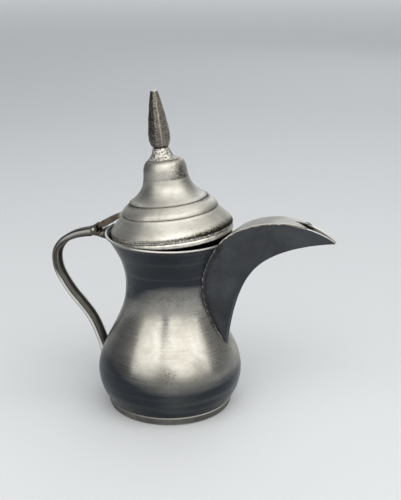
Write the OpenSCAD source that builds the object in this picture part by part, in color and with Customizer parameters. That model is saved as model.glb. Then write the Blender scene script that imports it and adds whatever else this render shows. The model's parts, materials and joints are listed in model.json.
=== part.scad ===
// Dallah coffee pot in tinned sheet metal: a spun body on a foot ring, a folded
// beak spout, a channel strap handle and a hinged domed lid with a cast finial.
// Origin: centre of the resting face on the body axis. +Z up, spout towards +X.

/* [Sheet and solder] */
// Thickness of the sheet metal
sheet = 0.8; // [0.6:0.05:0.9]
// Gap left where two separate pieces lie against each other
seat_gap = 0.03; // [0.02:0.01:0.05]
// Width of the solder run along a joint
solder_w = 1.4; // [0.8:0.1:1.8]

/* [Body] */
// Height of the mouth above the table
mouth_h = 86.9; // [80:0.1:94]
// Outer radius of the mouth
mouth_r = 30.3; // [29:0.1:32]
// Outer radius of the waist
waist_r = 21; // [18:0.5:24]
// Height of the waist
waist_h = 61.5; // [56:0.5:66]
// Outer radius of the belly
belly_r = 35; // [32:0.5:38]
// Height of the belly's widest place
belly_h = 18.5; // [16:0.5:21]
// Radius of the rolled lip round the mouth
lip_r = 0.65; // [0.5:0.05:0.8]
// Diameter of the strainer holes behind the spout
strainer_hole_d = 2.2; // [1.6:0.1:2.4]
// Height between the rows of strainer holes
strainer_pitch = 5; // [4.8:0.1:5.4]

/* [Foot] */
// Height of the foot ring
foot_h = 4.2; // [3:0.1:6]
// Outer radius of the foot ring
foot_r = 30.2; // [28:0.1:31]
// Width of the foot ring's top flange
foot_flange_w = 3; // [2:0.1:4]

/* [Spout] */
// Height at which the keel leaves the belly
keel_h = 34.4; // [31:0.1:38]
// Reach of the spout's tip from the body axis
tip_reach = 80.5; // [74:0.5:88]
// Height of the spout's tip above the mouth
tip_rise = 4.8; // [1:0.1:9]
// Half width of the spout where it meets the mouth
root_half_w = 9.6; // [8:0.1:11]
// Half width of the spout's tip
tip_half_w = 1.3; // [1.1:0.1:2]
// Reach at which the notch in the roof starts
notch_reach = 61.3; // [56:0.1:66]
// Reach at which the roof's two arms end
roof_reach = 69; // [67:0.1:73]

/* [Handle] */
// Width of the handle's strap
strap_w = 6; // [5:0.1:8]
// Depth of the strap's folded channel
strap_depth = 3.4; // [2.6:0.1:4.2]
// Reach of the handle's loop behind the body axis
loop_reach = 63.4; // [58:0.1:70]
// Height of the loop's outermost place
loop_h = 65.8; // [62:0.1:70]
// Reach of the handle's elbow behind the body axis
elbow_reach = 47.2; // [44:0.2:50]
// Height of the handle's elbow
elbow_h = 39.8; // [37:0.2:43]
// Height of the strap's lower end
strap_foot_h = 17.5; // [15:0.5:21]

/* [Hinge] */
// Distance of the hinge pin behind the mouth's edge
pin_gap = 8.5; // [7:0.1:10]
// Distance of the hinge pin below the mouth
pin_drop = 2.7; // [2:0.1:3.5]
// Radius of the hinge pin
pin_r = 0.9; // [0.7:0.05:1.1]
// Length of the hinge pin
pin_len = 8.4; // [7.8:0.1:9.5]
// Width of the hinge's leaves
leaf_w = 7; // [6:0.1:8]
// Width of the lid's knuckle between the two ears
knuckle_w = 3.4; // [2.6:0.1:4]
// Running clearance round the pin
pin_clearance = 0.05; // [0.03:0.01:0.1]

/* [Lid] */
// Angle at which the lid rests, ajar on the spout's root
lid_rest_angle = 7; // [6.5:0.1:12]
// How much smaller the dome's outer radius is than the mouth's
lid_inset = 1.5; // [1.1:0.1:3]
// Height of the dome above the ring
dome_h = 33.2; // [29:0.1:39]
// Radius of the wire that the lid's ring is bent from
wire_r = 1.6; // [1.2:0.05:1.7]
// Height of the solder cone under the finial
neck_h = 5.2; // [4:0.1:7]
// Length of the cast finial
finial_len = 26.7; // [22:0.1:32]
// Radius of the finial where it is thickest
finial_r = 5.2; // [4.2:0.1:6]
// How far the finial is soldered off the dome's middle, towards the spout
finial_off = -0.9; // [-1.2:0.1:0.4]

/* [Hidden] */
$fn = 96;
tip_h = mouth_h + tip_rise;
pin_reach = mouth_r + pin_gap;
pin_h = mouth_h - pin_drop;

// ---- Curves ----------------------------------------------------------------

// Point at t on the cubic curve with the four control points p
function cubic(p, t) =
    pow(1 - t, 3) * p[0] + 3 * t * pow(1 - t, 2) * p[1]
    + 3 * t * t * (1 - t) * p[2] + t * t * t * p[3];
// n steps along a cubic curve, without its last point
function cubic_run(p, n) = [for (i = [0 : n - 1]) cubic(p, i / n)];
// Unit normal on the right-hand side of a run of 2-D points at point i
function side_normal(pts, i) =
    let (a = pts[max(i - 1, 0)], b = pts[min(i + 1, len(pts) - 1)], d = (b - a) / norm(b - a))
    [d[1], -d[0]];
// The run of points moved to its left by t
function inset(pts, t) = [for (i = [0 : len(pts) - 1]) pts[i] - t * side_normal(pts, i)];
function reversed(pts) = [for (i = [len(pts) - 1 : -1 : 0]) pts[i]];

// Faces of a tube whose rings hold m points each. Each end is closed by the polygons
// in ends, which list the points of a ring
function tube_faces(rings, m, ends) = concat(
    ends,
    [for (i = [0 : rings - 2], j = [0 : m - 1])
        let (a = i * m + j, b = i * m + (j + 1) % m) [a, a + m, b + m, b]],
    [for (e = ends) [for (j = reversed(e)) (rings - 1) * m + j]]);

// A solid from a list of rings of 3-D points
module tube(rings, ends = []) {
    m = len(rings[0]);
    whole = [[for (j = [0 : m - 1]) j]];
    polyhedron(points = [for (r = rings) for (p = r) p],
        faces = tube_faces(len(rings), m, len(ends) > 0 ? ends : whole), convexity = 8);
}

// ---- Body ------------------------------------------------------------------

belly_below = foot_h + 7.8;
waist_above = waist_h + 10;
// Outside of the body from foot to mouth, as [radius, height]
body_line = concat(
    cubic_run([[foot_r, foot_h], [foot_r + 2, foot_h + 2.8], [belly_r, belly_below], [belly_r, belly_h]], 8),
    cubic_run([[belly_r, belly_h], [belly_r, belly_h + 13.5], [waist_r, waist_h - 19], [waist_r, waist_h]], 14),
    cubic_run([[waist_r, waist_h], [waist_r, waist_above], [mouth_r - 4.6, mouth_h - 8], [mouth_r, mouth_h]], 12),
    [[mouth_r, mouth_h]]);
// Radius of the outside of the body at height z
function body_r(z) = lookup(z, [for (p = body_line) [p[1], p[0]]]);

// Rows of strainer holes: a triangle that widens upwards
strainer_rows = 5;
strainer_h = waist_h - 8;
// Distance between the holes of a row
strainer_step = strainer_pitch * 0.64;

// Section of the wall: outside, rolled lip, inside
lip_centre = [mouth_r - sheet / 2, mouth_h - lip_r];
lip_start = -35;
wall_line = [for (p = body_line) if (p[1] < lip_centre[1] - lip_r) p];
wall_section = concat(
    wall_line,
    [for (a = [lip_start : 25 : 215]) lip_centre + lip_r * [cos(a), sin(a)]],
    reversed([for (p = inset(body_line, sheet)) if (p[1] < lip_centre[1] - lip_r) p]));

// Outside of the wall and its lip, on which the spout sits
lip_foot = wall_line[len(wall_line) - 1];
lip_flank = lip_centre + lip_r * [cos(lip_start), sin(lip_start)];
seat_line = concat(wall_line, [lip_flank, [lip_centre[0] + lip_r, lip_centre[1]], [lip_centre[0] + lip_r, mouth_h]]);
function seat_r(z) = lookup(z, [for (p = seat_line) [p[1], p[0]]]);
// X of that outside, with the seat gap, at height z and distance y from the middle plane
function body_x(y, z) = sqrt(pow(seat_r(z) + seat_gap, 2) - y * y);

module body_shell() {
    color([0.62, 0.6, 0.57]) difference() {
        // Turned so that the revolve starts away from the strainer holes
        rotate([0, 0, 90]) rotate_extrude() polygon(wall_section);
        for (row = [0 : strainer_rows - 1], i = [0 : row])
            translate([0, (i - row / 2) * strainer_step, strainer_h + row * strainer_pitch])
                rotate([0, 90, 0]) cylinder(h = belly_r, d = strainer_hole_d, $fn = 32);
    }
}

base_r = foot_r - sheet - 0.3;
base_z = foot_h + seat_gap;

module base_plate() {
    color([0.55, 0.53, 0.5]) translate([0, 0, base_z]) cylinder(h = sheet, r = base_r);
}

// Fillet of solder in the corner between the base and the wall
module base_solder() {
    wall = foot_r - sheet;
    color([0.7, 0.68, 0.64]) rotate_extrude() polygon([
        [wall - 2 * solder_w, base_z + sheet + seat_gap], [wall + 0.2, base_z + sheet + seat_gap],
        [wall + 0.75, base_z + sheet + solder_w], [wall - 0.3, base_z + sheet + solder_w * 0.7]]);
}

module foot_ring() {
    lip = foot_r - foot_flange_w;
    color([0.6, 0.58, 0.55]) rotate_extrude() polygon([
        [lip + 0.2, 0], [foot_r - 1.3, 0], [foot_r - 0.5, 0.5], [foot_r - 0.1, 1.5],
        [foot_r, 2.8], [foot_r, foot_h - seat_gap], [lip, foot_h - seat_gap], [lip, foot_h - 1],
        [foot_r - 1.1, foot_h - 1], [foot_r - 1.1, 1.7], [foot_r - 1.5, 1.1], [lip + 0.2, 1]]);
}

// ---- Spout -----------------------------------------------------------------

spout_steps = 14;
// Half width of the cheeks on the body, growing from the keel up to the mouth
seam_h = keel_h + 1.4;
function seam_half_w(z) = tip_half_w + (root_half_w - tip_half_w)
    * pow(max(0, (z - seam_h) / (mouth_h - seam_h)), 0.75);
keel_bend = [mouth_r + 13.7, mouth_h - 11.7];
// Keel from the belly to the bend under the mouth, then out to the tip, as [x, z]
keel_line = concat(
    cubic_run([[body_r(keel_h) + 0.1, keel_h], [mouth_r + 1.7, keel_h + 15.6], [mouth_r + 4.7, keel_bend[1] - 9.2], keel_bend], spout_steps),
    cubic_run([keel_bend, keel_bend + [8, 8.2], [tip_reach - 14.5, tip_h - 3.4], [tip_reach - 0.3, tip_h - 1]], spout_steps),
    [[tip_reach - 0.3, tip_h - 1]]);
// Upper edge: up the body's wall to the mouth, as [x, half width, z]
root_x = body_x(root_half_w, mouth_h);
// The last two stations follow the lip
seam_heights = concat(
    [for (i = [0 : spout_steps - 2]) seam_h + (lip_foot[1] - seam_h) * i / (spout_steps - 2)], [lip_flank[1]]);
seam_line = [for (z = seam_heights) let (w = seam_half_w(z)) [body_x(w, z), w, z]];
// and then over the arch to the tip
arch_line = concat(
    cubic_run([[root_x, root_half_w, mouth_h], [root_x + 7.3, root_half_w - 1.2, mouth_h + 9.3], [tip_reach - 19.5, 5.3, tip_h + 13.2],
        [tip_reach, tip_half_w, tip_h]], spout_steps),
    [[tip_reach, tip_half_w, tip_h]]);
edge_line = concat(seam_line, arch_line);

// Width of the wall measured across the spout
wall_y = sheet * 1.08;
// Places across a cheek from the keel (0) to the upper edge (1)
outer_steps = [0, 0.02, 0.07, 0.16, 0.32, 0.55, 0.78, 1];
inner_steps = [1, 0.7, 0.4, 0.18, 0.06, 0];
// Share of the half width at place q: almost straight, with a rounded keel
keel_round = 0.2;
function cheek_share(q) = sqrt((1 - keel_round) * q * q + keel_round * q);
// Place at which the inside of the wall reaches the middle plane
function fold_place(w) =
    let (m = (wall_y + seat_gap) / w)
    (sqrt(keel_round * keel_round + 4 * (1 - keel_round) * m * m) - keel_round) / (2 * (1 - keel_round));
// Point of station i at place q, y from the middle plane
function cheek_point(i, q, y) =
    let (k = keel_line[i], e = edge_line[i])
    let (x = k[0] + (e[0] - k[0]) * q, z = k[1] + (e[2] - k[1]) * q)
    [i < spout_steps && q == 1 ? body_x(y, z) : x, y, z];
function cheek_ring(i) =
    let (w = edge_line[i][1], q0 = fold_place(w))
    concat(
        [for (q = outer_steps) cheek_point(i, q, max(seat_gap / 2, w * cheek_share(q)))],
        [for (s = inner_steps)
            let (q = q0 + (1 - q0) * s)
            cheek_point(i, q, max(seat_gap / 2, w * cheek_share(q) - wall_y))]);

module spout_cheek_left() {
    color([0.45, 0.46, 0.47]) tube([for (i = [0 : len(keel_line) - 1]) cheek_ring(i)]);
}

module spout_cheek_right() {
    color([0.45, 0.46, 0.47]) mirror([0, 1, 0])
        tube([for (i = [0 : len(keel_line) - 1]) cheek_ring(i)]);
}

// The roof lies on the cheeks' upper edges and splits into two arms
roof_lift = seat_gap * 2;
notch_half_w = root_half_w * 0.34;
module spout_roof() {
    last = len(arch_line) - 1;
    rings = [for (i = [0 : last])
        let (p = arch_line[i], w = p[1] + 0.1, z = p[2] + roof_lift)
        [[p[0], -w, z], [p[0], w, z], [p[0], w - 0.15, z + sheet], [p[0], -w + 0.15, z + sheet]]];
    color([0.66, 0.64, 0.6]) difference() {
        tube(rings);
        translate([0, 0, mouth_h - 2]) cylinder(h = 4, r = mouth_r - sheet - 0.3);
        translate([0, 0, mouth_h]) linear_extrude(height = mouth_r)
            polygon([[notch_reach, 0], [roof_reach, -notch_half_w], [tip_reach, -root_half_w / 2],
                [tip_reach, root_half_w / 2], [roof_reach, notch_half_w]]);
        translate([roof_reach - sheet / 2, -root_half_w, mouth_h]) cube([mouth_r, root_half_w * 2, mouth_r]);
    }
}

// Solder run inside the keel, from above the belly to below the arch
module spout_keel_solder() {
    first = 4;
    last = 2 * spout_steps - 4;
    color([0.7, 0.68, 0.64]) tube([for (i = [first : last])
        let (w = edge_line[i][1], q0 = fold_place(w), q1 = q0 + 0.12)
        let (y = w * cheek_share(q1) - wall_y - seat_gap)
        [cheek_point(i, q0 + 0.02, 0), cheek_point(i, q1, y), cheek_point(i, q1 + 0.01, 0), cheek_point(i, q1, -y)]]);
}

// Fillet of solder along the cheeks' edge on the body, one run each side
module spout_root_solder() {
    // Clears the bulge of the body and of the cheek between two stations
    lift = seat_gap * 2.5;
    rings = [for (i = [0 : spout_steps])
        let (p = edge_line[i], z = p[2], w = p[1] + lift, k = keel_line[i])
        let (d = [k[0] - p[0], k[1] - z], n = max(norm(d), solder_w), out = solder_w * 0.7 * min(1, n / 6))
        [[body_x(w, z) + lift, w, z], [body_x(w + solder_w, z) + lift, w + solder_w, z],
         [p[0] + d[0] / n * out + lift, p[1] * cheek_share(1 - out / n) + lift, z + d[1] / n * out]]];
    color([0.72, 0.7, 0.66]) {
        tube(rings);
        mirror([0, 1, 0]) tube(rings);
    }
}

// ---- Handle ----------------------------------------------------------------

strap_steps = 12;
strap_bend = 0.7;
strap_top = [-(pin_reach + 2.4), pin_h + 0.3];
strap_elbow = [-elbow_reach, elbow_h];
// Height between the loop and the elbow, the measure of the strap's curves
grip = loop_h - elbow_h;
strap_foot = [-(body_r(strap_foot_h) + 1.6), strap_foot_h];
// Outer face of the strap from the hinge to the belly, as [x, z]
strap_line = concat(
    cubic_run([strap_top, strap_top - grip * [0.377, 0.1], [-loop_reach, loop_h + grip * 0.45], [-loop_reach, loop_h]], strap_steps),
    cubic_run([[-loop_reach, loop_h], [-loop_reach, loop_h - grip * 0.338], strap_elbow + grip * [-0.358, 0.377], strap_elbow], strap_steps),
    cubic_run([strap_elbow, strap_elbow + grip * [0.2, -0.212], [-(belly_r + grip * 0.146), strap_foot_h + grip * 0.327], strap_foot], strap_steps),
    [strap_foot]);
// Depth of the channel at point i: shallower where it comes to the belly
function strap_depth_at(i) =
    let (p = strap_line[i], n = side_normal(strap_line, i))
    let (room = -p[0] - sqrt(pow(body_r(p[1]) + seat_gap, 2) - pow(strap_w / 2, 2)))
    min(strap_depth + max(0, 0.9 - i * 0.15), max(sheet + 0.3, (room - seat_gap) / max(0.6, abs(n[0]))));
// Section of the strap: the web outside, two flanges towards the body
function strap_ring(i) =
    let (p = strap_line[i], n = -side_normal(strap_line, i), d = strap_depth_at(i), w = strap_w / 2, b = strap_bend)
    let (section = [[-w, d], [-w, b], [-w + b * 0.3, b * 0.3], [-w + b, 0], [w - b, 0], [w - b * 0.3, b * 0.3],
        [w, b], [w, d], [w - sheet, d], [w - sheet, sheet], [-w + sheet, sheet], [-w + sheet, d]])
    [for (s = section) [p[0] + n[0] * s[1], s[0], p[1] + n[1] * s[1]]];

// The section's web and flanges as separate polygons, to close the strap's ends
strap_ends = [[0, 1, 10, 11], [1, 2, 3, 10], [3, 4, 9, 10], [4, 5, 6, 9], [6, 7, 8, 9]];

module handle_strap() {
    color([0.5, 0.49, 0.47]) tube([for (i = [0 : len(strap_line) - 1]) strap_ring(i)], strap_ends);
}

// A sector of a ring that follows the body's outside between two heights
module body_patch(z0, z1, thick, half_w) {
    n = 6;
    zs = [for (i = [0 : n]) z0 + (z1 - z0) * i / n];
    a = asin(half_w / body_r((z0 + z1) / 2));
    rotate([0, 0, 180 - a]) rotate_extrude(angle = 2 * a)
        polygon(concat([for (z = zs) [body_r(z) + seat_gap, z]], [for (z = reversed(zs)) [body_r(z) + thick, z]]));
}

module handle_foot_solder() {
    color([0.7, 0.68, 0.64]) body_patch(strap_foot_h - 2.6, strap_foot_h - seat_gap, 1.1, strap_w / 2 + 0.8);
}

// ---- Hinge -----------------------------------------------------------------

ear_r = pin_r + 1;
leaf_t = 1;
leaf_top = pin_h - ear_r - 0.3;
ear_gap = 0.15;
tab_len = 7;
tail_w = strap_w - 2 * sheet - 0.4;

module along_y(w) { translate([0, w / 2, 0]) rotate([90, 0, 0]) linear_extrude(height = w) children(); }

// Plate from inside the strap, under the pin, to the neck, with two ears for the pin
module hinge_bracket() {
    ear_w = (leaf_w - knuckle_w) / 2 - ear_gap;
    tab_z = leaf_top - 1.3;
    tab_x = -(body_r(tab_z) + seat_gap + 0.12);
    knee_x = -pin_reach + 5.2;
    color([0.58, 0.55, 0.5]) difference() {
        union() {
            along_y(leaf_w) polygon([[-pin_reach - 1, leaf_top], [-pin_reach + 2, leaf_top], [knee_x, leaf_top - 0.7],
                [tab_x - 0.1, tab_z], [tab_x, tab_z - leaf_t], [knee_x, leaf_top - 0.7 - leaf_t],
                [-pin_reach + 2, leaf_top - leaf_t], [-pin_reach - 1, leaf_top - leaf_t]]);
            along_y(tail_w) polygon([[-pin_reach - 0.9, leaf_top], [-pin_reach - 5, leaf_top + 0.9],
                [-pin_reach - 5, leaf_top - 0.1], [-pin_reach - 0.9, leaf_top - leaf_t]]);
            for (s = [-1, 1]) translate([-pin_reach, s * (leaf_w / 2 - ear_w / 2), 0]) {
                translate([0, 0, pin_h]) rotate([90, 0, 0]) cylinder(h = ear_w, r = ear_r, center = true, $fn = 48);
                translate([-ear_r * 0.8, -ear_w / 2, leaf_top - 0.2]) cube([ear_r * 1.6, ear_w, ear_r]);
            }
            body_patch(tab_z - tab_len, tab_z - 0.2, sheet + 0.1, leaf_w / 2 - 0.4);
        }
        translate([-pin_reach, 0, pin_h]) rotate([90, 0, 0])
            cylinder(h = leaf_w + 2, r = pin_r + 0.02, center = true, $fn = 48);
    }
}

// Solder below the bracket's tab on the neck, and a thick patch on the plate against the mouth
module hinge_solder() {
    z = leaf_top - 1.3 - tab_len - seat_gap;
    plate = leaf_top + seat_gap;
    near_pin = -pin_reach + 2.4;
    color([0.7, 0.68, 0.64]) {
        body_patch(z - 2.2, z, 0.7, leaf_w / 2 - 1);
        difference() {
            along_y(leaf_w + 2.4) polygon([[near_pin, plate], [near_pin, plate + 1.1], [near_pin + 1.2, plate + 2.1],
                [near_pin + 3.4, plate + 1.6], [near_pin + 5, plate + 1.4], [near_pin + 7, plate + 1.7],
                [near_pin + 7, plate - 0.9], [near_pin + 2.8, plate - 0.66]]);
            rotate_extrude() polygon([[0, 0], for (p = seat_line) [p[0] + seat_gap * 2, p[1]], [0, mouth_h]]);
            translate([-pin_reach, 0, pin_h]) rotate([90, 0, 0]) cylinder(h = leaf_w + 4, r = ear_r + 0.3, center = true);
        }
    }
}

module hinge_pin() {
    color([0.75, 0.73, 0.7]) translate([-pin_reach, 0, pin_h]) rotate([90, 0, 0])
        cylinder(h = pin_len, r = pin_r, center = true, $fn = 48);
}

// ---- Lid -------------------------------------------------------------------

// Place of the lid when it is shut: on the body axis, its ring inside the mouth
lid_x = 1.7;
lid_z = mouth_h - 2.9;
dome_r = mouth_r - lid_inset;
ring_r = dome_r + 0.1 - wire_r;

module lid_place() {
    translate([-pin_reach, 0, pin_h]) rotate([0, -lid_rest_angle, 0])
        translate([pin_reach + lid_x, 0, lid_z - pin_h]) children();
}

tier_c_h = dome_h * 0.268;
tier_b_h = dome_h * 0.422;
tier_a_h = dome_h * 0.741;
groove = 0.45;
cap_r = 9.1;
neck_r = 6.4;
tang_r = 1.5;
// Outside of the dome from its lower edge to the cap, as [radius, height]
dome_line = concat(
    [[dome_r - 0.9, 0.05], [dome_r - 0.2, 0.6]],
    cubic_run([[dome_r - 0.1, 1.5], [dome_r - 0.8, 3.6], [dome_r - 3.7, tier_c_h - 3.3], [dome_r - 6.35, tier_c_h]], 10),
    [[dome_r - 6.35 - groove, tier_c_h + 0.25]],
    cubic_run([[dome_r - 6.1, tier_c_h + 0.5], [dome_r - 6.4, tier_c_h + 2.3], [dome_r - 8.4, tier_b_h - 1.6],
        [dome_r - 10.5, tier_b_h]], 8),
    [[dome_r - 10.5 - groove, tier_b_h + 0.25]],
    cubic_run([[dome_r - 10.4, tier_b_h + 0.5], [dome_r - 14.8, tier_b_h + 2.8], [dome_r - 17.8, tier_a_h - 4],
        [dome_r - 18.1, tier_a_h]], 12),
    [[dome_r - 18.1 - groove * 0.6, tier_a_h + 0.3], [dome_r - 18.3, tier_a_h + 0.7]],
    cubic_run([[cap_r + 1, dome_h - 4], [cap_r + 0.3, dome_h - 1.6], [cap_r - 0.1, dome_h - 0.3], [neck_r, dome_h]], 6),
    [[neck_r, dome_h]]);

// The cap's hole takes the finial's tang
module lid_dome() {
    inner = inset(dome_line, sheet);
    color([0.68, 0.66, 0.62]) lid_place() difference() {
        rotate_extrude() polygon(concat(dome_line, [[0, dome_h + 0.02], [0, dome_h - sheet]], reversed(inner)));
        translate([finial_off, 0, dome_h - 2 * sheet]) cylinder(h = 4 * sheet, r = tang_r + seat_gap);
    }
}

module lid_ring() {
    color([0.66, 0.64, 0.6]) lid_place() translate([0, 0, -wire_r]) rotate_extrude()
        translate([ring_r, 0]) circle(wire_r, $fn = 32);
}

// Solder run in the corner between the ring and the dome's lower edge
module lid_ring_solder() {
    foot = ring_r + wire_r * 0.75;
    color([0.5, 0.48, 0.45]) lid_place() rotate_extrude() polygon([
        [dome_r - 0.85, 0.03], [ring_r + wire_r * 0.45, -wire_r * 0.08], [foot, -wire_r * 0.3],
        [foot + 0.35, 0.1], [dome_r + 0.1, 0.9], [dome_r - 0.12, 0.62]]);
}

neck_base = dome_h + seat_gap + 0.02;
finial_base = dome_h + neck_h;

module finial_place() {
    lid_place() translate([finial_off, 0, 0]) children();
}

module finial_solder() {
    color([0.74, 0.72, 0.68]) finial_place() rotate_extrude() polygon([
        [tang_r + seat_gap, neck_base], [neck_r + 0.3, neck_base], [neck_r - 0.5, neck_base + 0.9],
        [neck_r - 1.7, neck_base + 2.4], [4, finial_base - 0.6], [3.7, finial_base - seat_gap],
        [tang_r + seat_gap, finial_base - seat_gap]]);
}

// Tang through the cap, headed over inside the dome
tang_in = 6;
module finial_tang() {
    head_z = dome_h - sheet - 1.3;
    color([0.4, 0.39, 0.38]) finial_place() {
        translate([0, 0, head_z]) cylinder(h = 1.3 - seat_gap, r = tang_r * 2, $fn = 40);
        translate([0, 0, head_z + 0.5]) cylinder(h = finial_base + tang_in - head_z - 0.5, r = tang_r, $fn = 40);
    }
}

// Eight-sided cast spindle with a socket for the tang
finial_sides = 8;
module finial() {
    color([0.3, 0.29, 0.28]) finial_place() translate([0, 0, finial_base]) difference() {
        rotate([0, 0, 180 / finial_sides]) rotate_extrude($fn = finial_sides) polygon([
            [0, 0], [finial_r * 0.66, 0], [finial_r * 0.84, finial_len * 0.04], [finial_r, finial_len * 0.14],
            [finial_r, finial_len * 0.25], [finial_r * 0.83, finial_len * 0.5], [finial_r * 0.58, finial_len * 0.78],
            [finial_r * 0.34, finial_len * 0.985], [finial_r * 0.24, finial_len], [0, finial_len]]);
        translate([0, 0, -1]) cylinder(h = tang_in + 1 + seat_gap, r = tang_r + seat_gap, $fn = 40);
    }
}

// Leaf from the pin's knuckle up onto the back of the dome, folded double at the hinge
module lid_tongue() {
    knuckle_r = ear_r - 0.15;
    side = 0.8;
    web = 0.9;
    // Points are relative to the pin with the lid shut. The leaf meets the dome near its upper end
    touch = [for (s = [0.62, 0.74, 0.87, 1])
        let (h = tier_c_h * s, r = lookup(h, [for (p = dome_line) [p[1], p[0]]]))
        [pin_reach + lid_x - r - seat_gap * 2, lid_z - pin_h + h]];
    top = touch[3] + [-web * 0.7, web * 0.6];
    under = [[2.9, 1], [5.6, 0.9], [7.4, 1.5], [9.2, 2.5], [11.3, 3.6]];
    back = [top, [15.2, 8], [12.3, 6.7], [8.4, 5.4], [6, 4.4], [4.2, 3.5], [2.2, 2.7], [2.2, 2.2]];
    color([0.55, 0.5, 0.46]) translate([-pin_reach, 0, pin_h]) rotate([0, -lid_rest_angle, 0]) difference() {
        union() {
            rotate([90, 0, 0]) cylinder(h = knuckle_w, r = knuckle_r, center = true, $fn = 48);
            along_y(knuckle_w) polygon([[0, -0.4], [3.4, 0.6], [3.4, 3], [0, knuckle_r - 0.02]]);
            difference() {
                along_y(leaf_w) polygon(concat(under, touch, back));
                // Hollow between the two folded sides
                along_y(leaf_w - 2 * side) polygon([[4.2, 0], [4.2, 3.5 - web], [6, 4.4 - web], [8.4, 5.4 - web],
                    [12.3, 6.7 - web], [14, 6.1], [14, 0]]);
            }
        }
        rotate([90, 0, 0]) cylinder(h = leaf_w + 2, r = pin_r + pin_clearance, center = true, $fn = 48);
    }
}

body_shell();
base_plate();
base_solder();
foot_ring();
spout_cheek_left();
spout_cheek_right();
spout_roof();
spout_keel_solder();
spout_root_solder();
handle_strap();
handle_foot_solder();
hinge_bracket();
hinge_solder();
hinge_pin();
lid_tongue();
lid_ring();
lid_ring_solder();
lid_dome();
finial_solder();
finial_tang();
finial();
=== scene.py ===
# %% [markdown]
# # A dallah coffee pot
# The pot is a hand-made vessel of tinned sheet metal: a spun body, a beak of two cheeks and a
# roof strip, a strap handle folded to a channel, and a domed lid on a wire hinge. The frame
# holds every piece at its real size. This notebook dresses each piece with smooth sheet, lumpy
# solder and worn metal.

# %% Load the frame
import json
import math
import bpy
import bmesh
import numpy as np
from mathutils import Matrix, Vector, noise

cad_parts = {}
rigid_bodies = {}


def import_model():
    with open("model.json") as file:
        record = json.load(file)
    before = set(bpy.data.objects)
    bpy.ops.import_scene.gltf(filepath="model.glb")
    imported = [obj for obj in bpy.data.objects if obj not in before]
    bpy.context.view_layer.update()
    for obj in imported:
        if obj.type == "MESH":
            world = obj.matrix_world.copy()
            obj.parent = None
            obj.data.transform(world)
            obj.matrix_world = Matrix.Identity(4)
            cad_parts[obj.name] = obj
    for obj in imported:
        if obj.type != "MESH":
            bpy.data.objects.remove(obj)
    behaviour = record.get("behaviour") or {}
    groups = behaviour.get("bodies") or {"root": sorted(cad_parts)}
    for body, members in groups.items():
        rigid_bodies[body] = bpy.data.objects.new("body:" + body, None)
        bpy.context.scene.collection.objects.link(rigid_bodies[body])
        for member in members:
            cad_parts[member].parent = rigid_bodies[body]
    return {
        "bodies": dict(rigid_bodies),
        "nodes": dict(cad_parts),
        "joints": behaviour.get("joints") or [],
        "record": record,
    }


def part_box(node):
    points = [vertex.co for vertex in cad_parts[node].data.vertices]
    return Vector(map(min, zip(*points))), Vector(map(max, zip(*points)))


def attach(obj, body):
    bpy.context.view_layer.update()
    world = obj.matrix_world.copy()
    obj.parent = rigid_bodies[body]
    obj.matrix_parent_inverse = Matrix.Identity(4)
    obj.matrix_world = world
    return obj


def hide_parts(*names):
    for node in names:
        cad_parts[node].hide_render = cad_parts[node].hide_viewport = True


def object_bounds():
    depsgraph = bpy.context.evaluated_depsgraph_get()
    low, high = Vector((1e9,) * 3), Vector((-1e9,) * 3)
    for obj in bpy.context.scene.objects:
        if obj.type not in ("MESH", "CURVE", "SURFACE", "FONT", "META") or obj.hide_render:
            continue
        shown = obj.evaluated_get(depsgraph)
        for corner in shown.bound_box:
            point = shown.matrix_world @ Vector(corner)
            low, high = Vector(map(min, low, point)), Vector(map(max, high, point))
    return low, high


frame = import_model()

cad_low, cad_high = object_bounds()
MM = 0.001
scene = bpy.context.scene
print("frame box, mm:", [round(v / MM, 1) for v in (*cad_low, *cad_high)])

# %% [markdown]
# ## Camera
# A phone held close to a small object gives a strong perspective: the eye is under half a metre
# away, a little above the lid and to the spout's side of the front. The camera is placed by
# that distance, its height and two aim angles, all real sizes.

# %% Camera
AZIMUTH = 24.0            # degrees round from the front, towards the spout
ELEVATION = 18.29         # degrees above the horizon
DISTANCE = 480 * MM       # from the eye to the pot's middle
MIDDLE = Vector((0, 0, 80 * MM))
AIM = Vector((-0.3574, 0.878, -0.3184))
UP = Vector((-0.1239, 0.2933, 0.948))
LENS = 72.77              # mm, on the 36 mm long side


def direction(azimuth, elevation):
    """Unit vector from the object towards a viewer or a lamp, in the frame's own angles."""
    a, e = math.radians(azimuth), math.radians(elevation)
    return Vector((math.sin(a) * math.cos(e), -math.cos(a) * math.cos(e), math.sin(e)))


def placed(name, data):
    """A new object in the scene."""
    made = bpy.data.objects.new(name, data)
    scene.collection.objects.link(made)
    return made


cam = placed("camera", bpy.data.cameras.new("camera"))
cam.data.lens = LENS
cam.data.clip_start = 20 * MM
cam.location = MIDDLE + direction(AZIMUTH, ELEVATION) * DISTANCE
look = AIM.normalized()
right = look.cross(UP).normalized()
cam.rotation_euler = Matrix((right, right.cross(look), -look)).transposed().to_euler()
scene.camera = cam
print("camera at, mm:", [round(v / MM) for v in cam.location])

# %% [markdown]
# ## Light and floor
# Polished metal shows what stands round it, so its look comes from large soft lamps. Two tall
# soft boxes with a gap between them give the belly its pair of upright highlights. The world is
# a plain dim grey, so that the metal keeps dark places between the lamps, and the pale floor
# curves up far behind the pot as a backdrop.

# %% Adding nodes
def linear(hex_colour):
    """An sRGB hex colour as linear RGBA."""
    rgb = [int(hex_colour[i:i + 2], 16) / 255 for i in (1, 3, 5)]
    return [*(c / 12.92 if c <= 0.04045 else ((c + 0.055) / 1.055) ** 2.4 for c in rgb), 1.0]


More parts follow.
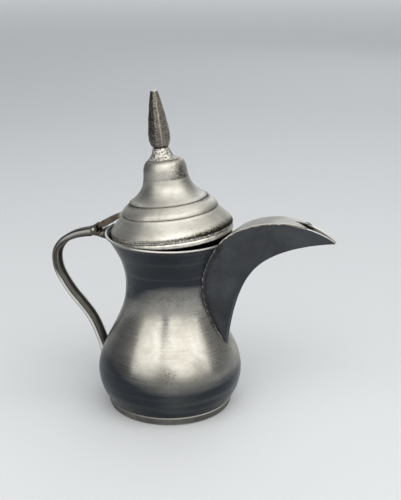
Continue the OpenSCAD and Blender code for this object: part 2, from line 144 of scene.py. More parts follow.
def node_adder(tree):
    """Returns the function that adds one node to this tree, with its settings and inputs.

    A node or a socket given as an input is linked, by its first output in use. A hex colour is
    turned to linear, and any other value is set as it is.
    """
    def add(kind, inputs=None, **settings):
        node = tree.nodes.new(kind)
        for key, value in settings.items():
            setattr(node, key, value)
        for key, value in (inputs or {}).items():
            if isinstance(value, bpy.types.Node):
                value = next(output for output in value.outputs if output.enabled)
            if isinstance(value, bpy.types.NodeSocket):
                tree.links.new(value, node.inputs[key])
            else:
                node.inputs[key].default_value = linear(value) if isinstance(value, str) else value
        return node
    return add


def new_material(name):
    """A material with an empty tree, and the function that fills it."""
    mat = bpy.data.materials.new(name)
    mat.use_nodes = True
    mat.node_tree.nodes.clear()
    return mat, node_adder(mat.node_tree)


print("sRGB mid grey is linear", round(linear("#808080")[0], 3))

# %% Lamps
WARM = "#fffdf8"


def soft_box(name, azimuth, elevation, distance, size, radiance, tint="#ffffff", middle=MIDDLE):
    """A rectangular lamp that faces the given middle; radiance 1 looks white in a mirror."""
    lamp = bpy.data.lights.new(name, "AREA")
    lamp.shape = "RECTANGLE"
    lamp.size, lamp.size_y = size
    lamp.energy = radiance * math.pi * size[0] * size[1]
    lamp.color = linear(tint)[:3]
    holder = placed(name, lamp)
    holder.location = middle + direction(azimuth, elevation) * distance
    holder.rotation_euler = direction(azimuth, elevation).to_track_quat("Z", "Y").to_euler()


soft_box("left_window", AZIMUTH - 43, 32, 1.0, (0.9, 1.0), 1.42, WARM)
soft_box("right_window", AZIMUTH + 34, 38, 1.0, (1.5, 1.25), 1.4, WARM)
soft_box("overhead", AZIMUTH + 40, 78, 1.0, (1.8, 1.3), 1.2, "#fffefb")
soft_box("rim", AZIMUTH + 160, 24, 1.3, (0.6, 0.7), 0.6, "#f2f6ff")
soft_box("far_floor", AZIMUTH, 89, 2.4, (5.5, 4.0), 0.9, middle=direction(AZIMUTH + 180, 0) * 4.2)

world = bpy.data.worlds.new("studio")
scene.world = world
world.use_nodes = True
room = node_adder(world.node_tree)("ShaderNodeBackground", {"Color": "#c9ccd0", "Strength": 0.3})
world.node_tree.links.new(room.outputs[0], world.node_tree.nodes["World Output"].inputs["Surface"])
print("lamps:", [lamp.name for lamp in bpy.data.lights])

# %% Floor
FLOOR_NEAR, FLOOR_FAR, CURVE_R, WALL_TOP, FLOOR_SIDE = -12.0, 5.0, 1.0, 3.0, 8   # metres
FLOOR_GAP = 0.02          # mm under the foot

floor_mat, add = new_material("matte_paper_floor")
# A faint glow far from the pot stands for the lamps that would light a real backdrop
far = add("ShaderNodeVectorMath", {0: add("ShaderNodeTexCoord").outputs["Object"]}, operation="LENGTH")
glow = add("ShaderNodeMapRange", {"Value": far, "From Min": 0.8, "From Max": 3.6, "To Max": 0.28})
paper = add("ShaderNodeBsdfPrincipled", {
    "Base Color": "#cfd2d5", "Roughness": 0.85, "Specular IOR Level": 0.2,
    "Emission Color": "#f4f6f8", "Emission Strength": glow})
add("ShaderNodeOutputMaterial", {"Surface": paper})
back = Vector((AIM.x, AIM.y, 0)).normalized()
side_way = Vector((back.y, -back.x, 0))
sweep = [(FLOOR_NEAR, 0), (FLOOR_FAR, 0)]
sweep += [(FLOOR_FAR + CURVE_R * math.sin(a), CURVE_R - CURVE_R * math.cos(a))
          for a in np.linspace(0.1, math.pi / 2, 12)]
sweep += [(FLOOR_FAR + CURVE_R, WALL_TOP)]
corners = [back * d + side_way * w + Vector((0, 0, h + cad_low.z - FLOOR_GAP * MM))
           for d, h in sweep for w in (-FLOOR_SIDE, FLOOR_SIDE)]
floor_mesh = bpy.data.meshes.new("floor")
quads = [(k, k + 1, k + 3, k + 2) for k in range(0, 2 * len(sweep) - 2, 2)]
floor_mesh.from_pydata(corners, [], quads)
floor_mesh.polygons.foreach_set("use_smooth", [True] * len(floor_mesh.polygons))
floor = placed("floor", floor_mesh)
floor.data.materials.append(floor_mat)
print("floor and backdrop reach", sweep[-1], "m")

# %% [markdown]
# ## Sizes from the frame
# The main heights and radii are read from the imported pieces; the rest are the numbers the
# solids were built from, so the dressed pieces sit exactly where the solids are. The body's
# outline is the same three curves a spinner's template would have: foot to belly, belly to
# waist, waist to mouth.

# %% Sizes
shell_low, shell_high = (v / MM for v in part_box("body_shell"))
pin_low, pin_high = (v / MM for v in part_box("hinge_pin"))
mouth_h, belly_r, foot_h = shell_high.z, shell_high.y, shell_low.z
foot_r, mouth_r, waist_r = 30.2, 30.3, 21.0
belly_h, waist_h = 18.5, 61.5
sheet = 0.8
KEEL_H, ROOT_W, TIP_W = 34.4, 9.6, 1.3   # the spout's keel on the belly, and its half widths
seam_h = KEEL_H + 1.4
pin = (pin_low + pin_high) / 2
print("belly radius", round(belly_r, 2), "mouth height", round(mouth_h, 2))
print("pin at", [round(v, 2) for v in pin])


# %% Outline curves
def cubic(points, steps, last=True):
    """Points along the cubic curve with four control points."""
    p = np.array(points, float)
    t = np.linspace(0, 1, steps, endpoint=last)[:, None]
    return ((1 - t) ** 3 * p[0] + 3 * t * (1 - t) ** 2 * p[1]
            + 3 * t * t * (1 - t) * p[2] + t ** 3 * p[3])


def body_outline(steps):
    """Outside of the body from foot to mouth, as rows of radius and height."""
    foot, belly, waist, mouth = [foot_r, foot_h], [belly_r, belly_h], [waist_r, waist_h], [mouth_r, mouth_h]
    return np.vstack([
        cubic([foot, [foot_r + 2, foot_h + 2.8], [belly_r, foot_h + 7.8], belly], steps, False),
        cubic([belly, [belly_r, belly_h + 13.5], [waist_r, waist_h - 19], waist], steps * 2, False),
        cubic([waist, [waist_r, waist_h + 10], [mouth_r - 4.6, mouth_h - 8], mouth], steps * 2)])


fine_body = body_outline(40)


def body_r(z):
    """Radius of the outside of the body at height z."""
    return np.interp(z, fine_body[:, 1], fine_body[:, 0])


def off_wall(p):
    """Distance of a point from the body's outside, measured level."""
    return math.hypot(p.x, p.y) - body_r(p.z)


def inset(line, depth):
    """The outline moved inwards by depth."""
    d = np.gradient(line, axis=0)
    n = np.stack([d[:, 1], -d[:, 0]], -1)
    return line - depth * n / np.linalg.norm(n, axis=1)[:, None]


def seam_w(z):
    """Half the distance between the two seams of the spout where they stand on the body."""
    return TIP_W + (ROOT_W - TIP_W) * min(1, max(0, (z - seam_h) / (mouth_h - seam_h))) ** 0.75


print("radius half way up:", round(float(body_r(mouth_h / 2)), 2))


# %% [markdown]
# ## Mesh helpers
# A spun shell is a closed section turned round an axis. A folded or soldered strip is a run of
# rings joined into a tube. Both come out as quads with smooth shading and sharp sheet edges.
# Wear, dirt, painted shade and painted highlights are numbers painted on the points, by rules that fade in
# and out over a distance.

# %% Numbers that fade
def clamp(value):
    """The value held between 0 and 1."""
    return min(1.0, max(0.0, value))


def near(value, target, width):
    """1 at the target, falling to 0 at the given distance."""
    return max(0.0, 1 - abs(value - target) / width)


def smoothly(value, start, end):
    """0 at start, 1 at end, with soft ends."""
    t = clamp((value - start) / (end - start))
    return t * t * (3 - 2 * t)


def facing(turn, degrees):
    """1 where the turn round the axis points that way, 0 at right angles to it and behind."""
    return max(0.0, math.cos(turn - math.radians(degrees)))


def ripple(p, size, amount, seed=0):
    """Smooth unevenness of hand-worked metal: lumps of a given size in mm."""
    return amount * noise.noise(Vector((p[0] / size + seed, p[1] / size, p[2] / size)))


print("a third of the way, straight and soft:", round(near(2 / 3, 0, 1), 2), round(smoothly(1 / 3, 0, 1), 2))


# %% Points round an axis
def outward(a):
    """Level unit vector at an angle round the axis."""
    return Vector((math.cos(a), math.sin(a), 0))


def polar(r, a, z):
    """Point at a radius, an angle and a height."""
    return Vector((r * math.cos(a), r * math.sin(a), z))


def around(count):
    """Angles of a full turn in equal steps."""
    return np.linspace(0, 2 * math.pi, count, endpoint=False)


def quarter(count, start=0):
    """Angles of a quarter turn, both ends included."""
    return np.linspace(start, math.pi / 2, count)


print("eight points round:", [round(math.degrees(a)) for a in around(8)])

# %% Meshes from points
FOLD = math.radians(38)   # faces that meet more sharply than this keep a sharp edge


def smooth_faces(mesh):
    """Shades every face of a mesh smooth."""
    mesh.polygons.foreach_set("use_smooth", [True] * len(mesh.polygons))


def mesh_object(name, verts, faces):
    """An object in millimetres turned to metres, smooth except where faces meet sharply."""
    mesh = bpy.data.meshes.new(name)
    mesh.from_pydata([tuple(v * MM for v in p) for p in verts], [], faces)
    mesh.validate()
    smooth_faces(mesh)
    mesh.set_sharp_from_angle(angle=FOLD)
    return placed(name, mesh)


def strip_faces(rows, count, closed=False):
    """Quads between neighbouring rows of points, each row a closed line."""
    faces = []
    for i in range(rows if closed else rows - 1):
        j = (i + 1) % rows
        for k in range(count):
            m = (k + 1) % count
            faces.append((i * count + k, j * count + k, j * count + m, i * count + m))
    return faces


print("two rows of four points make", len(strip_faces(2, 4)), "faces")


# %% Turned shells and tubes
def spun(name, section, turns, shake):
    """Turns a closed section (rows of radius, height) round the axis; shake moves the points."""
    section = np.array(section, float)
    verts = []
    for a in around(turns):
        for r, z in section:
            p = polar(r, a, z)
            verts.append(p + shake(p, a))
    return mesh_object(name, verts, strip_faces(turns, len(section), closed=True))


def tube(name, rings, ends=None):
    """Joins rings of equal length into a closed tube; ends lists the polygons of each cap."""
    count = len(rings[0])
    faces = strip_faces(len(rings), count)
    base = (len(rings) - 1) * count
    for cap in ends or [list(range(count))]:
        faces.append(tuple(cap))
        faces.append(tuple(base + k for k in reversed(cap)))
    made = mesh_object(name, [Vector(p) for ring in rings for p in ring], faces)
    point_outwards(made)
    return made


def change_mesh(made, step):
    """Runs one bmesh step on an object's own mesh."""
    bm = bmesh.new()
    bm.from_mesh(made.data)
    step(bm)
    bm.to_mesh(made.data)
    bm.free()


def point_outwards(made):
    """Makes all faces of a closed mesh point out of it."""
    change_mesh(made, lambda bm: bmesh.ops.recalc_face_normals(bm, faces=bm.faces))


# %% Paint and finish
def paint_values(made, name, values):
    """Stores one number for each point of the mesh."""
    layer = made.data.attributes.new(name, "FLOAT", "POINT")
    layer.data.foreach_set("value", values)


def paint(made, name, rule):
    """Stores a number from 0 to 1 at each point, worked out from its place in mm."""
    paint_values(made, name, [clamp(rule(v.co / MM)) for v in made.data.vertices])


def finish_piece(made, body, nodes, slot, finish, **rules):
    """Paints a piece by its rules, gives it its material and body, and hides the nodes it stands for; the
    slot is not used.
    """
    for name, rule in rules.items():
        paint(made, name, rule)
    made.data.materials.clear()
    made.data.materials.append(finish)
    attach(made, body)
    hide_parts(*nodes)
    print(made.name, len(made.data.polygons), "faces")


# %% [markdown]
# ## Worn tin over sheet metal
# The pot is tinned: a thin coat of tin wiped on hot, then rubbed down in circles as the pot
# turned. That leaves a warm grey metal with fine rings, soft blotches where the tin has dulled,
# and dark oxide in corners that no cloth reaches. Painted pictures could show all this, but
# each piece would need unwrapping for them. Noise stretched round the axis gives the rings
# without a picture, and numbers on the points say where oxide, painted shade and painted
# highlights lie. The rings, about 0.1 mm on the real pot, are drawn 0.6 mm wide so that they show.

# %% Patterns in the tin
RING_MM, GRAIN_MM, PINHOLE_MM = 0.6, 0.9, 0.7    # pinholes are about 0.2 mm, drawn 0.4 mm wide


def tin_patterns(add, centre, tilt, blotch_mm):
    """Noise nodes round one axis: fine rings, wide rings, dulled blotches, grain and specks."""
    local = add("ShaderNodeMapping", {
        "Vector": add("ShaderNodeTexCoord").outputs["Object"], "Location": [c * MM for c in centre],
        "Rotation": (0, tilt, 0)}, vector_type="TEXTURE")
    x, y, z = add("ShaderNodeSeparateXYZ", {0: local}).outputs
    # One unit is a millimetre here; along the ring the pattern is stretched
    angle = add("ShaderNodeMath", {0: y, 1: x}, operation="ARCTAN2")
    along = add("ShaderNodeMath", {0: angle, 1: 1.1}, operation="MULTIPLY")
    xx = add("ShaderNodeMath", {0: x, 1: x}, operation="MULTIPLY")
    rr = add("ShaderNodeMath", {0: y, 1: y, 2: xx}, operation="MULTIPLY_ADD")
    radius = add("ShaderNodeMath", {0: rr}, operation="SQRT")
    height_mm, radius_mm = (add("ShaderNodeMath", {0: way, 1: 1 / MM}, operation="MULTIPLY")
                            for way in (z, radius))
    ring_at = add("ShaderNodeCombineXYZ", {0: along, 1: height_mm, 2: radius_mm})
    rings = add("ShaderNodeTexNoise", {
        "Vector": ring_at, "Scale": 1 / RING_MM, "Detail": 3.0, "Roughness": 0.65})
    wide = add("ShaderNodeTexNoise", {"Vector": ring_at, "Scale": 0.22 / RING_MM, "Detail": 2.0})
    blotch = add("ShaderNodeTexNoise", {
        "Vector": local, "Scale": 1 / (blotch_mm * MM), "Detail": 5.0, "Roughness": 0.6, "Distortion": 0.4})
    patch = add("ShaderNodeMapRange", {"Value": blotch, "From Min": 0.36, "From Max": 0.66})
    grain = add("ShaderNodeTexNoise", {"Vector": local, "Scale": 1 / (GRAIN_MM * MM), "Detail": 4.0})
    speck = add("ShaderNodeTexNoise", {"Vector": local, "Scale": 1 / (PINHOLE_MM * MM), "Detail": 1.0})
    return rings, wide, patch, grain, speck


print("rings drawn between the axis and the belly:", round(belly_r / RING_MM))


# %% Brushed tin
LID_TILT = math.radians(7.0)
# The first colour is painted shade, the second bright wear with painted highlights
SHADE_GREY, BRIGHT_WEAR_AND_HIGHLIGHT = "#35393e", "#e4e1da"


def worn_tin(name, light, dark, oxide, rough, brush=1.0, blotch_mm=14.0, centre=(0, 0, 0), tilt=0.0):
    """Brushed tin with blotches, darkened by oxide and painted shade, brightened by wear and painted
    highlights.
    """
    mat, add = new_material(name)
    rings, wide, patch, grain, speck = tin_patterns(add, centre, tilt, blotch_mm)
    plain = add("ShaderNodeMix", {0: patch, 6: light, 7: dark}, data_type="RGBA")
    ring_tone = add("ShaderNodeMapRange", {
        "Value": rings, "From Min": 0.3, "From Max": 0.7,
        "To Min": 1 - 0.09 * brush, "To Max": 1 + 0.06 * brush})
    ringed = add("ShaderNodeVectorMath", {0: plain, "Scale": ring_tone}, operation="SCALE")
    # Oxide breaks up over the grain
    dirt, smoke, wear_and_highlight_mask = (add("ShaderNodeAttribute", attribute_name=layer).outputs["Fac"]
                           for layer in ("oxide", "smoke", "edge"))
    ragged = add("ShaderNodeMath", {0: grain, 1: 0.9, 2: -0.45}, operation="MULTIPLY_ADD")
    reach = add("ShaderNodeMath", {0: dirt, 1: ragged}, operation="ADD")
    mask = add("ShaderNodeMapRange", {"Value": reach, "From Min": 0.25, "From Max": 0.85})
    # Pinholes in the tin, only in the dulled patches
    hole = add("ShaderNodeMapRange", {"Value": speck, "From Min": 0.66, "From Max": 0.76, "To Max": 0.75})
    pinhole = add("ShaderNodeMath", {0: hole, 1: patch}, operation="MULTIPLY")
    spent = add("ShaderNodeMath", {0: mask, 1: pinhole}, operation="MAXIMUM")
    dulled = add("ShaderNodeMix", {0: spent, 6: ringed, 7: oxide}, data_type="RGBA")
    # Painted shade darkens the tin where it would reflect dark surroundings, and wear with painted highlights
    # brightens the edges
    streak = add("ShaderNodeMath", {0: wide, 1: 0.3, 2: 0.85}, operation="MULTIPLY_ADD")
    shade_mask = add("ShaderNodeMath", {0: smoke, 1: streak}, operation="MULTIPLY", use_clamp=True)
    shaded = add("ShaderNodeMix", {0: shade_mask, 6: dulled, 7: SHADE_GREY}, data_type="RGBA")
    colour = add("ShaderNodeMix", {0: wear_and_highlight_mask, 6: shaded, 7: BRIGHT_WEAR_AND_HIGHLIGHT}, data_type="RGBA")
    patch_rough = add("ShaderNodeMapRange", {"Value": patch, "To Min": rough, "To Max": rough + 0.12})
    ring_rough = add("ShaderNodeMath", {0: rings, 1: 0.16 * brush, 2: patch_rough}, operation="MULTIPLY_ADD")
    roughness = add("ShaderNodeMath", {0: mask, 1: 0.22, 2: ring_rough}, operation="MULTIPLY_ADD")
    scratched = add("ShaderNodeBump", {"Height": rings, "Strength": 0.22 * brush, "Distance": 0.05 * MM})
    waved = add("ShaderNodeBump", {
        "Height": wide, "Strength": 0.3 * brush, "Distance": 0.12 * MM, "Normal": scratched})
    grained = add("ShaderNodeBump", {
        "Height": grain, "Strength": 0.25, "Distance": 0.05 * MM, "Normal": waved})
    tin = add("ShaderNodeBsdfPrincipled", {
        "Base Color": colour, "Metallic": 1.0, "Roughness": roughness, "Normal": grained})
    add("ShaderNodeOutputMaterial", {"Surface": tin})
    return mat


# %% Cast and soldered metal
def lumpy_metal(name, bright, dark, pit_mm, rough, depth=0.25, bias=0.5, highlight_colour="#dcd9d1"):
    """Cast or soldered metal: bright high places, dark pits, no brushing."""
    mat, add = new_material(name)
    at = add("ShaderNodeTexCoord").outputs["Object"]
    lumps = add("ShaderNodeTexNoise", {
        "Vector": at, "Scale": 1 / (pit_mm * MM), "Detail": 6.0, "Roughness": 0.7})
    cells = add("ShaderNodeTexVoronoi", {"Vector": at, "Scale": 1 / (pit_mm * 0.8 * MM)})
    hollow = add("ShaderNodeMath", {0: cells, 1: 0.5, 2: lumps}, operation="MULTIPLY_ADD")
    tone = add("ShaderNodeMapRange", {"Value": hollow, "From Min": bias, "From Max": bias + 0.4})
    dirt, wear_and_highlight_mask = (add("ShaderNodeAttribute", attribute_name=layer).outputs["Fac"]
                    for layer in ("oxide", "edge"))
    shade = add("ShaderNodeMath", {0: tone, 1: dirt}, operation="SUBTRACT")
    brightness = add("ShaderNodeMix", {0: shade, 6: dark, 7: bright}, data_type="RGBA")
    # Painted highlights are mixed in where the piece is painted for them
    colour = add("ShaderNodeMix", {0: wear_and_highlight_mask, 6: brightness, 7: highlight_colour}, data_type="RGBA")
    pitted = add("ShaderNodeBump", {"Height": hollow, "Strength": 0.7, "Distance": depth * MM})
    metal = add("ShaderNodeBsdfPrincipled", {
        "Base Color": colour, "Metallic": 1.0, "Roughness": rough, "Normal": pitted})
    add("ShaderNodeOutputMaterial", {"Surface": metal})
    return mat


# %% The pot's metals
lid_foot = Vector((1.4, 0, 89.0))        # where the lid's axis meets the mouth, in mm
# Tinned sheet, rubbed down as it turned: fine rings and a soft shine, brightest on the body
body_tin = worn_tin("tinned_sheet_body", "#d6d3ca", "#b4b0a6", "#4a4136", 0.17)
# The lid's copy is a little darker than the body's: painted shade that tones down the strong light on top
lid_tin = worn_tin("tinned_sheet_lid", "#cbc8c0", "#b2afa6", "#2f2922", 0.31,
                   centre=lid_foot, tilt=-LID_TILT)
roof_tin = worn_tin("tinned_sheet_roof", "#b5b3ae", "#98958f", "#4a4136", 0.33, 0.4)
foot_tin = worn_tin("tinned_sheet_foot", "#7c7a76", "#5c5a57", "#35322e", 0.32)
# A dark, even grey with few rings: painted dark reflection, where the cheeks would reflect dark surroundings
cheek_tin = worn_tin("cheek_sheet_painted_dark", "#515356", "#3f4144", "#33302c", 0.36, 0.35, 20)
# Tarnished by hands and scorched by heat: brown takes the place of grey, in small blotches
strap_tin = worn_tin("tarnished_strap", "#5b5752", "#3f3b37", "#2f2b27", 0.34, 0.4, 9)
tongue_tin = worn_tin("scorched_sheet_tongue", "#756c62", "#4a4037", "#2b241d", 0.42, 0.3, 5)
# Drawn wire, rubbed at every opening of the lid: smooth and bright
wire = worn_tin("worn_wire", "#dedbd4", "#b7b4ac", "#4a4136", 0.26, 0.2, 4)
# Soft solder, wiped while it froze: bright crests over dark hollows
solder = lumpy_metal("wiped_solder", "#dbd8d0", "#4d4842", 1.2, 0.46, depth=0.35, bias=0.52)
# Solder dulled by smoke, browned, or burnt by its flux: the crests fade and the hollows spread
seam_solder = lumpy_metal("dulled_seam_solder", "#6e6c68", "#3d3d40", 1.6, 0.42, depth=0.12)
brown_solder = lumpy_metal("browned_solder", "#776b5d", "#4a4138", 1.6, 0.45, depth=0.1)
dark_solder = lumpy_metal("burnt_solder", "#c4c1b9", "#2a2622", 1.6, 0.48, bias=0.68)
# Cast metal, filed and never polished: flat greys full of small dark pits
casting = lumpy_metal("pitted_casting", "#938e86", "#2c2926", 0.7, 0.36, 0.2, 0.47, highlight_colour="#cfcbc3")
print("materials:", len(bpy.data.materials), "with the frame's own and the floor")

# %% [markdown]
# ## Body
# The body is one spun shell 0.8 mm thick with a rolled lip. A Screw modifier could turn its
# section round the axis. A loop turns the same section here, because it can also move each
# point: hand work leaves the wall a few tenths of a millimetre out of round, and such slow
# ripples are what bends the reflections.

# %% Body shell
LIP_R = 0.65
TURNS = 224               # points round the body, the foot and the dome
lip = np.array([mouth_r - sheet / 2, mouth_h - LIP_R])


def body_section():
    """Closed section of the wall: outside, rolled lip, inside, and a small foot edge."""
    outer = [p for p in body_outline(22) if p[1] < lip[1] - LIP_R]
    inner = [p for p in inset(body_outline(14), sheet) if p[1] < lip[1] - LIP_R][::-1]
    bends = np.radians(np.arange(-30, 211, 20))
    return outer + [lip + LIP_R * np.array([math.cos(a), math.sin(a)]) for a in bends] + inner


def out_of_round(p, a):
    """Ripples of the spun wall, none at the foot and the mouth; the bias keeps them inside the solid."""
    hold = clamp((p.z - foot_h) / 6) * clamp((mouth_h - p.z) / 10)
    return outward(a) * (hold * (ripple(p, 17, 0.22) + ripple(p, 6, 0.05, 3) - 0.06))


body = spun("body_sheet", body_section(), TURNS, out_of_round)
point_outwards(body)

# %% [markdown]
# The wall behind the spout is pierced by rows of small holes that hold back the coffee grounds.
# They repeat by a rule, row by row, so Geometry Nodes places the punches: the point's number
# gives its row and its place in the row. A boolean then cuts them out of the shell.

# %% Node trees
FLOAT, COUNT, MATERIAL = "NodeSocketFloat", "NodeSocketInt", "NodeSocketMaterial"


def node_group(name, sizes):
    """A Geometry Nodes tree with a geometry input and one named input for each size."""
    tree = bpy.data.node_groups.new(name, "GeometryNodeTree")
    tree.interface.new_socket("Geometry", in_out="OUTPUT", socket_type="NodeSocketGeometry")
    tree.interface.new_socket("Geometry", in_out="INPUT", socket_type="NodeSocketGeometry")
    for label, (kind, value) in sizes.items():
        socket = tree.interface.new_socket(label, in_out="INPUT", socket_type=kind)
        if value is not None:
            socket.default_value = value
    add = node_adder(tree)
    return tree, add, add("NodeGroupInput").outputs


def finish_tree(add, mesh, given):
    """Makes the instances real, gives them the material and ends the tree."""
    real = add("GeometryNodeRealizeInstances", {0: mesh})
    coated = add("GeometryNodeSetMaterial", {"Geometry": real, "Material": given["Finish"]})
    add("NodeGroupOutput", {0: coated})


# %% Modifiers made plain
def bake(made):
    """Turns the object with its modifiers into a plain mesh and drops the modifiers."""
    bpy.context.view_layer.update()
    graph = bpy.context.evaluated_depsgraph_get()
    mesh = bpy.data.meshes.new_from_object(made.evaluated_get(graph), depsgraph=graph)
    made.modifiers.clear()
    made.data = mesh


def run_nodes(made, tree, values):
    """Runs a tree on an object and keeps the result as its plain mesh."""
    mod = made.modifiers.new(tree.name, "NODES")
    mod.node_group = tree
    for item in tree.interface.items_tree:
        if item.in_out == "INPUT" and item.name in values:
            mod[item.identifier] = values[item.name]
    bake(made)


def cut(made, cutter):
    """Cuts one closed mesh out of another and removes the cutter."""
    mod = made.modifiers.new("cut", "BOOLEAN")
    mod.operation, mod.solver, mod.object = "DIFFERENCE", "EXACT", cutter
    bake(made)
    bpy.data.objects.remove(cutter)
    smooth_faces(made.data)
    made.data.set_sharp_from_angle(angle=FOLD)


# %% Strainer holes
PUNCH_SIDES, PUNCH_X, PUNCH_LEN = 24, 23, 12   # mm; each punch is centred at this x
punch_tree, add, given = node_group("strainer_punches", {
    "Rows": (COUNT, 5), "Pitch": (FLOAT, 0.005), "Step": (FLOAT, 0.0032), "Hole": (FLOAT, 0.0022),
    "Height": (FLOAT, 0.05), "Finish": (MATERIAL, None)})
rows_and_one = add("ShaderNodeMath", {0: given["Rows"], 1: 1.0}, operation="ADD")
twice_all = add("ShaderNodeMath", {0: given["Rows"], 1: rows_and_one}, operation="MULTIPLY")
total = add("ShaderNodeMath", {0: twice_all, 1: 0.5}, operation="MULTIPLY")
points = add("GeometryNodePoints", {"Count": total})
# Row k holds k + 1 points, so the row is the whole part of (sqrt(8 i + 1) - 1) / 2
number = add("GeometryNodeInputIndex")
eightfold = add("ShaderNodeMath", {0: number, 1: 8.0, 2: 1.001}, operation="MULTIPLY_ADD")
root = add("ShaderNodeMath", {0: eightfold}, operation="SQRT")
row_and_part = add("ShaderNodeMath", {0: root, 1: 0.5, 2: -0.5}, operation="MULTIPLY_ADD")
row = add("ShaderNodeMath", {0: row_and_part}, operation="FLOOR")
# The rows before it hold row * (row + 1) / 2 points; the rest is the place from the row's middle
next_row = add("ShaderNodeMath", {0: row, 1: 1.0}, operation="ADD")
twice_passed = add("ShaderNodeMath", {0: row, 1: next_row}, operation="MULTIPLY")
place = add("ShaderNodeMath", {0: twice_passed, 1: -0.5, 2: number}, operation="MULTIPLY_ADD")
in_row = add("ShaderNodeMath", {0: row, 1: -0.5, 2: place}, operation="MULTIPLY_ADD")
across = add("ShaderNodeMath", {0: in_row, 1: given["Step"]}, operation="MULTIPLY")
up = add("ShaderNodeMath", {0: row, 1: given["Pitch"], 2: given["Height"]}, operation="MULTIPLY_ADD")
at = add("ShaderNodeCombineXYZ", {0: PUNCH_X * MM, 1: across, 2: up})
laid = add("GeometryNodeSetPosition", {"Geometry": points, "Position": at})
hole_r = add("ShaderNodeMath", {0: given["Hole"], 1: 0.5}, operation="MULTIPLY")
punch = add("GeometryNodeMeshCylinder", {
    "Vertices": PUNCH_SIDES, "Depth": PUNCH_LEN * MM, "Radius": hole_r})
spread = add("GeometryNodeInstanceOnPoints", {
    "Points": laid, "Instance": punch, "Rotation": (0, math.pi / 2, 0)})
finish_tree(add, spread, given)

punches = mesh_object("punches", [(0, 0, 0)], [])
run_nodes(punches, punch_tree, {"Height": (waist_h - 8) * MM, "Finish": body_tin})
print("punch tree:", len(punch_tree.nodes), "nodes")
print("punches:", len(punches.data.polygons) // (PUNCH_SIDES + 2))
cut(body, punches)

# %% [markdown]
# The neck, the low belly and the far left get painted shade, where the metal would reflect dark
# surroundings. The lip gets a painted highlight, and the middle stays bright. Each of these follows
# height and direction, so a rule paints it on the points, and no picture has to be wrapped round.

# %% Wear on the body
FAR_LEFT, BY_SPOUT = -150, 20            # degrees round the axis, 0 towards the spout
SCUFF = Vector((12.7, -31.5, 27))        # a dark scuff on the front of the belly


def body_oxide(p):
    """Dirt on the body: at the foot, inside, burnt flux by the spout's seam, and a band round the waist that
    is partly tarnish and partly painted shade.
    """
    flux = 0.62 * near(abs(p.y) - seam_w(p.z), 0.6, 3.2) * near(p.z, 56, 17) * (p.x > 0)
    inside = 0.5 if off_wall(p) < -0.45 else 0.0
    soldered = 0.5 * near(math.hypot(p.x, p.y) * math.atan2(abs(p.y), -p.x), 0, 5) * near(p.z, 76, 8)
    scuff = 0.55 * near((p - SCUFF).length, 0, 8)
    # The band round the waist is partly tarnish and partly painted shade
    return inside + 0.7 * near(p.z, foot_h, 2.2) + 0.32 * near(p.z, 60, 13) + soldered + flux + scuff


def body_smoke(p):
    """Painted shade on the neck, the low belly and the sides by the handle and the spout."""
    turn = math.atan2(p.y, p.x)
    left = facing(turn, FAR_LEFT)
    neck = 0.6 * smoothly(p.z, 49, 63) + 0.4 * smoothly(p.z, 61, 69)
    low = 0.94 * smoothly(p.z, 33 + 5 * left, 15)
    return neck + low + 0.65 * left ** 2 + 0.26 * facing(turn, BY_SPOUT) ** 2


def lip_highlight(p):
    """Painted highlight along the rolled lip, brightest at the far left."""
    left = math.cos(math.atan2(p.y, p.x) - math.radians(FAR_LEFT))
    return near(p.z, mouth_h, 0.9) ** 0.5 * (0.74 + 0.24 * left)


finish_piece(body, "pot", ["body_shell"], "tinned_sheet", body_tin,
             oxide=body_oxide, smoke=body_smoke, edge=lip_highlight)

# %% [markdown]
# ## Foot
# The foot is a separate hoop of the same sheet, curved under at the floor and soldered on.
# Sheet never folds to a sharp corner. A Bevel modifier could round the turned hoop; rounding the
# bends in the flat section first is simpler and gives cleaner faces. A little unevenness comes
# from years of being set down.

# %% Foot ring
FOOT_ROUND = 0.22
FOOT_TOP = foot_h - 0.03  # just under the body


def rounded(points, reach, steps=4):
    """A closed outline with each corner replaced by a small curve."""
    pts = np.array(points, float)
    out_line = []
    for i in range(len(pts)):
        a, p, b = pts[i - 1], pts[i], pts[(i + 1) % len(pts)]
        da, db = np.linalg.norm(a - p), np.linalg.norm(b - p)
        s = p + (a - p) / da * min(reach, da * 0.45)
        e = p + (b - p) / db * min(reach, db * 0.45)
        for t in np.linspace(0, 1, steps):
            out_line.append((1 - t) ** 2 * s + 2 * t * (1 - t) * p + t * t * e)
    return out_line


foot_lip = foot_r - 3
foot_section = [
    [foot_lip + 0.2, 0], [foot_r - 1.3, 0], [foot_r - 0.5, 0.5], [foot_r - 0.1, 1.5], [foot_r, 2.8],
    [foot_r, foot_h - 1.0], [foot_r, foot_h - 0.6], [foot_r, FOOT_TOP], [foot_lip, FOOT_TOP],
    [foot_lip, foot_h - 1], [foot_r - 1.1, foot_h - 1], [foot_r - 1.1, 1.7], [foot_r - 1.5, 1.1],
    [foot_lip + 0.2, 1]]


def dented(p, a):
    """Small dents of the foot hoop, none on the floor."""
    return outward(a) * (min(1.0, p.z) * clamp(foot_h - p.z) * ripple(p, 4, 0.09, 9))


def foot_wear_and_highlight(p):
    """Bare metal where the hoop stands on the floor, and a painted highlight on its upper edge at the front.
    """
    front = max(0.2, math.cos(math.atan2(p.y, p.x) + 0.5))
    return 0.35 * near(p.z, 0.3, 0.6) + 0.8 * near(p.z, foot_h - 0.4, 0.5) * front


foot = spun("foot_hoop", rounded(foot_section, FOOT_ROUND), TURNS, dented)
point_outwards(foot)
# Dark at the joint under the body, and painted shade low down where the hoop curves under
finish_piece(foot, "pot", ["foot_ring"], "tinned_sheet", foot_tin, edge=foot_wear_and_highlight,
             oxide=lambda p: 0.7 * near(p.z, foot_h, 0.2) + 0.3 * near(p.z, 1.6, 1.2))

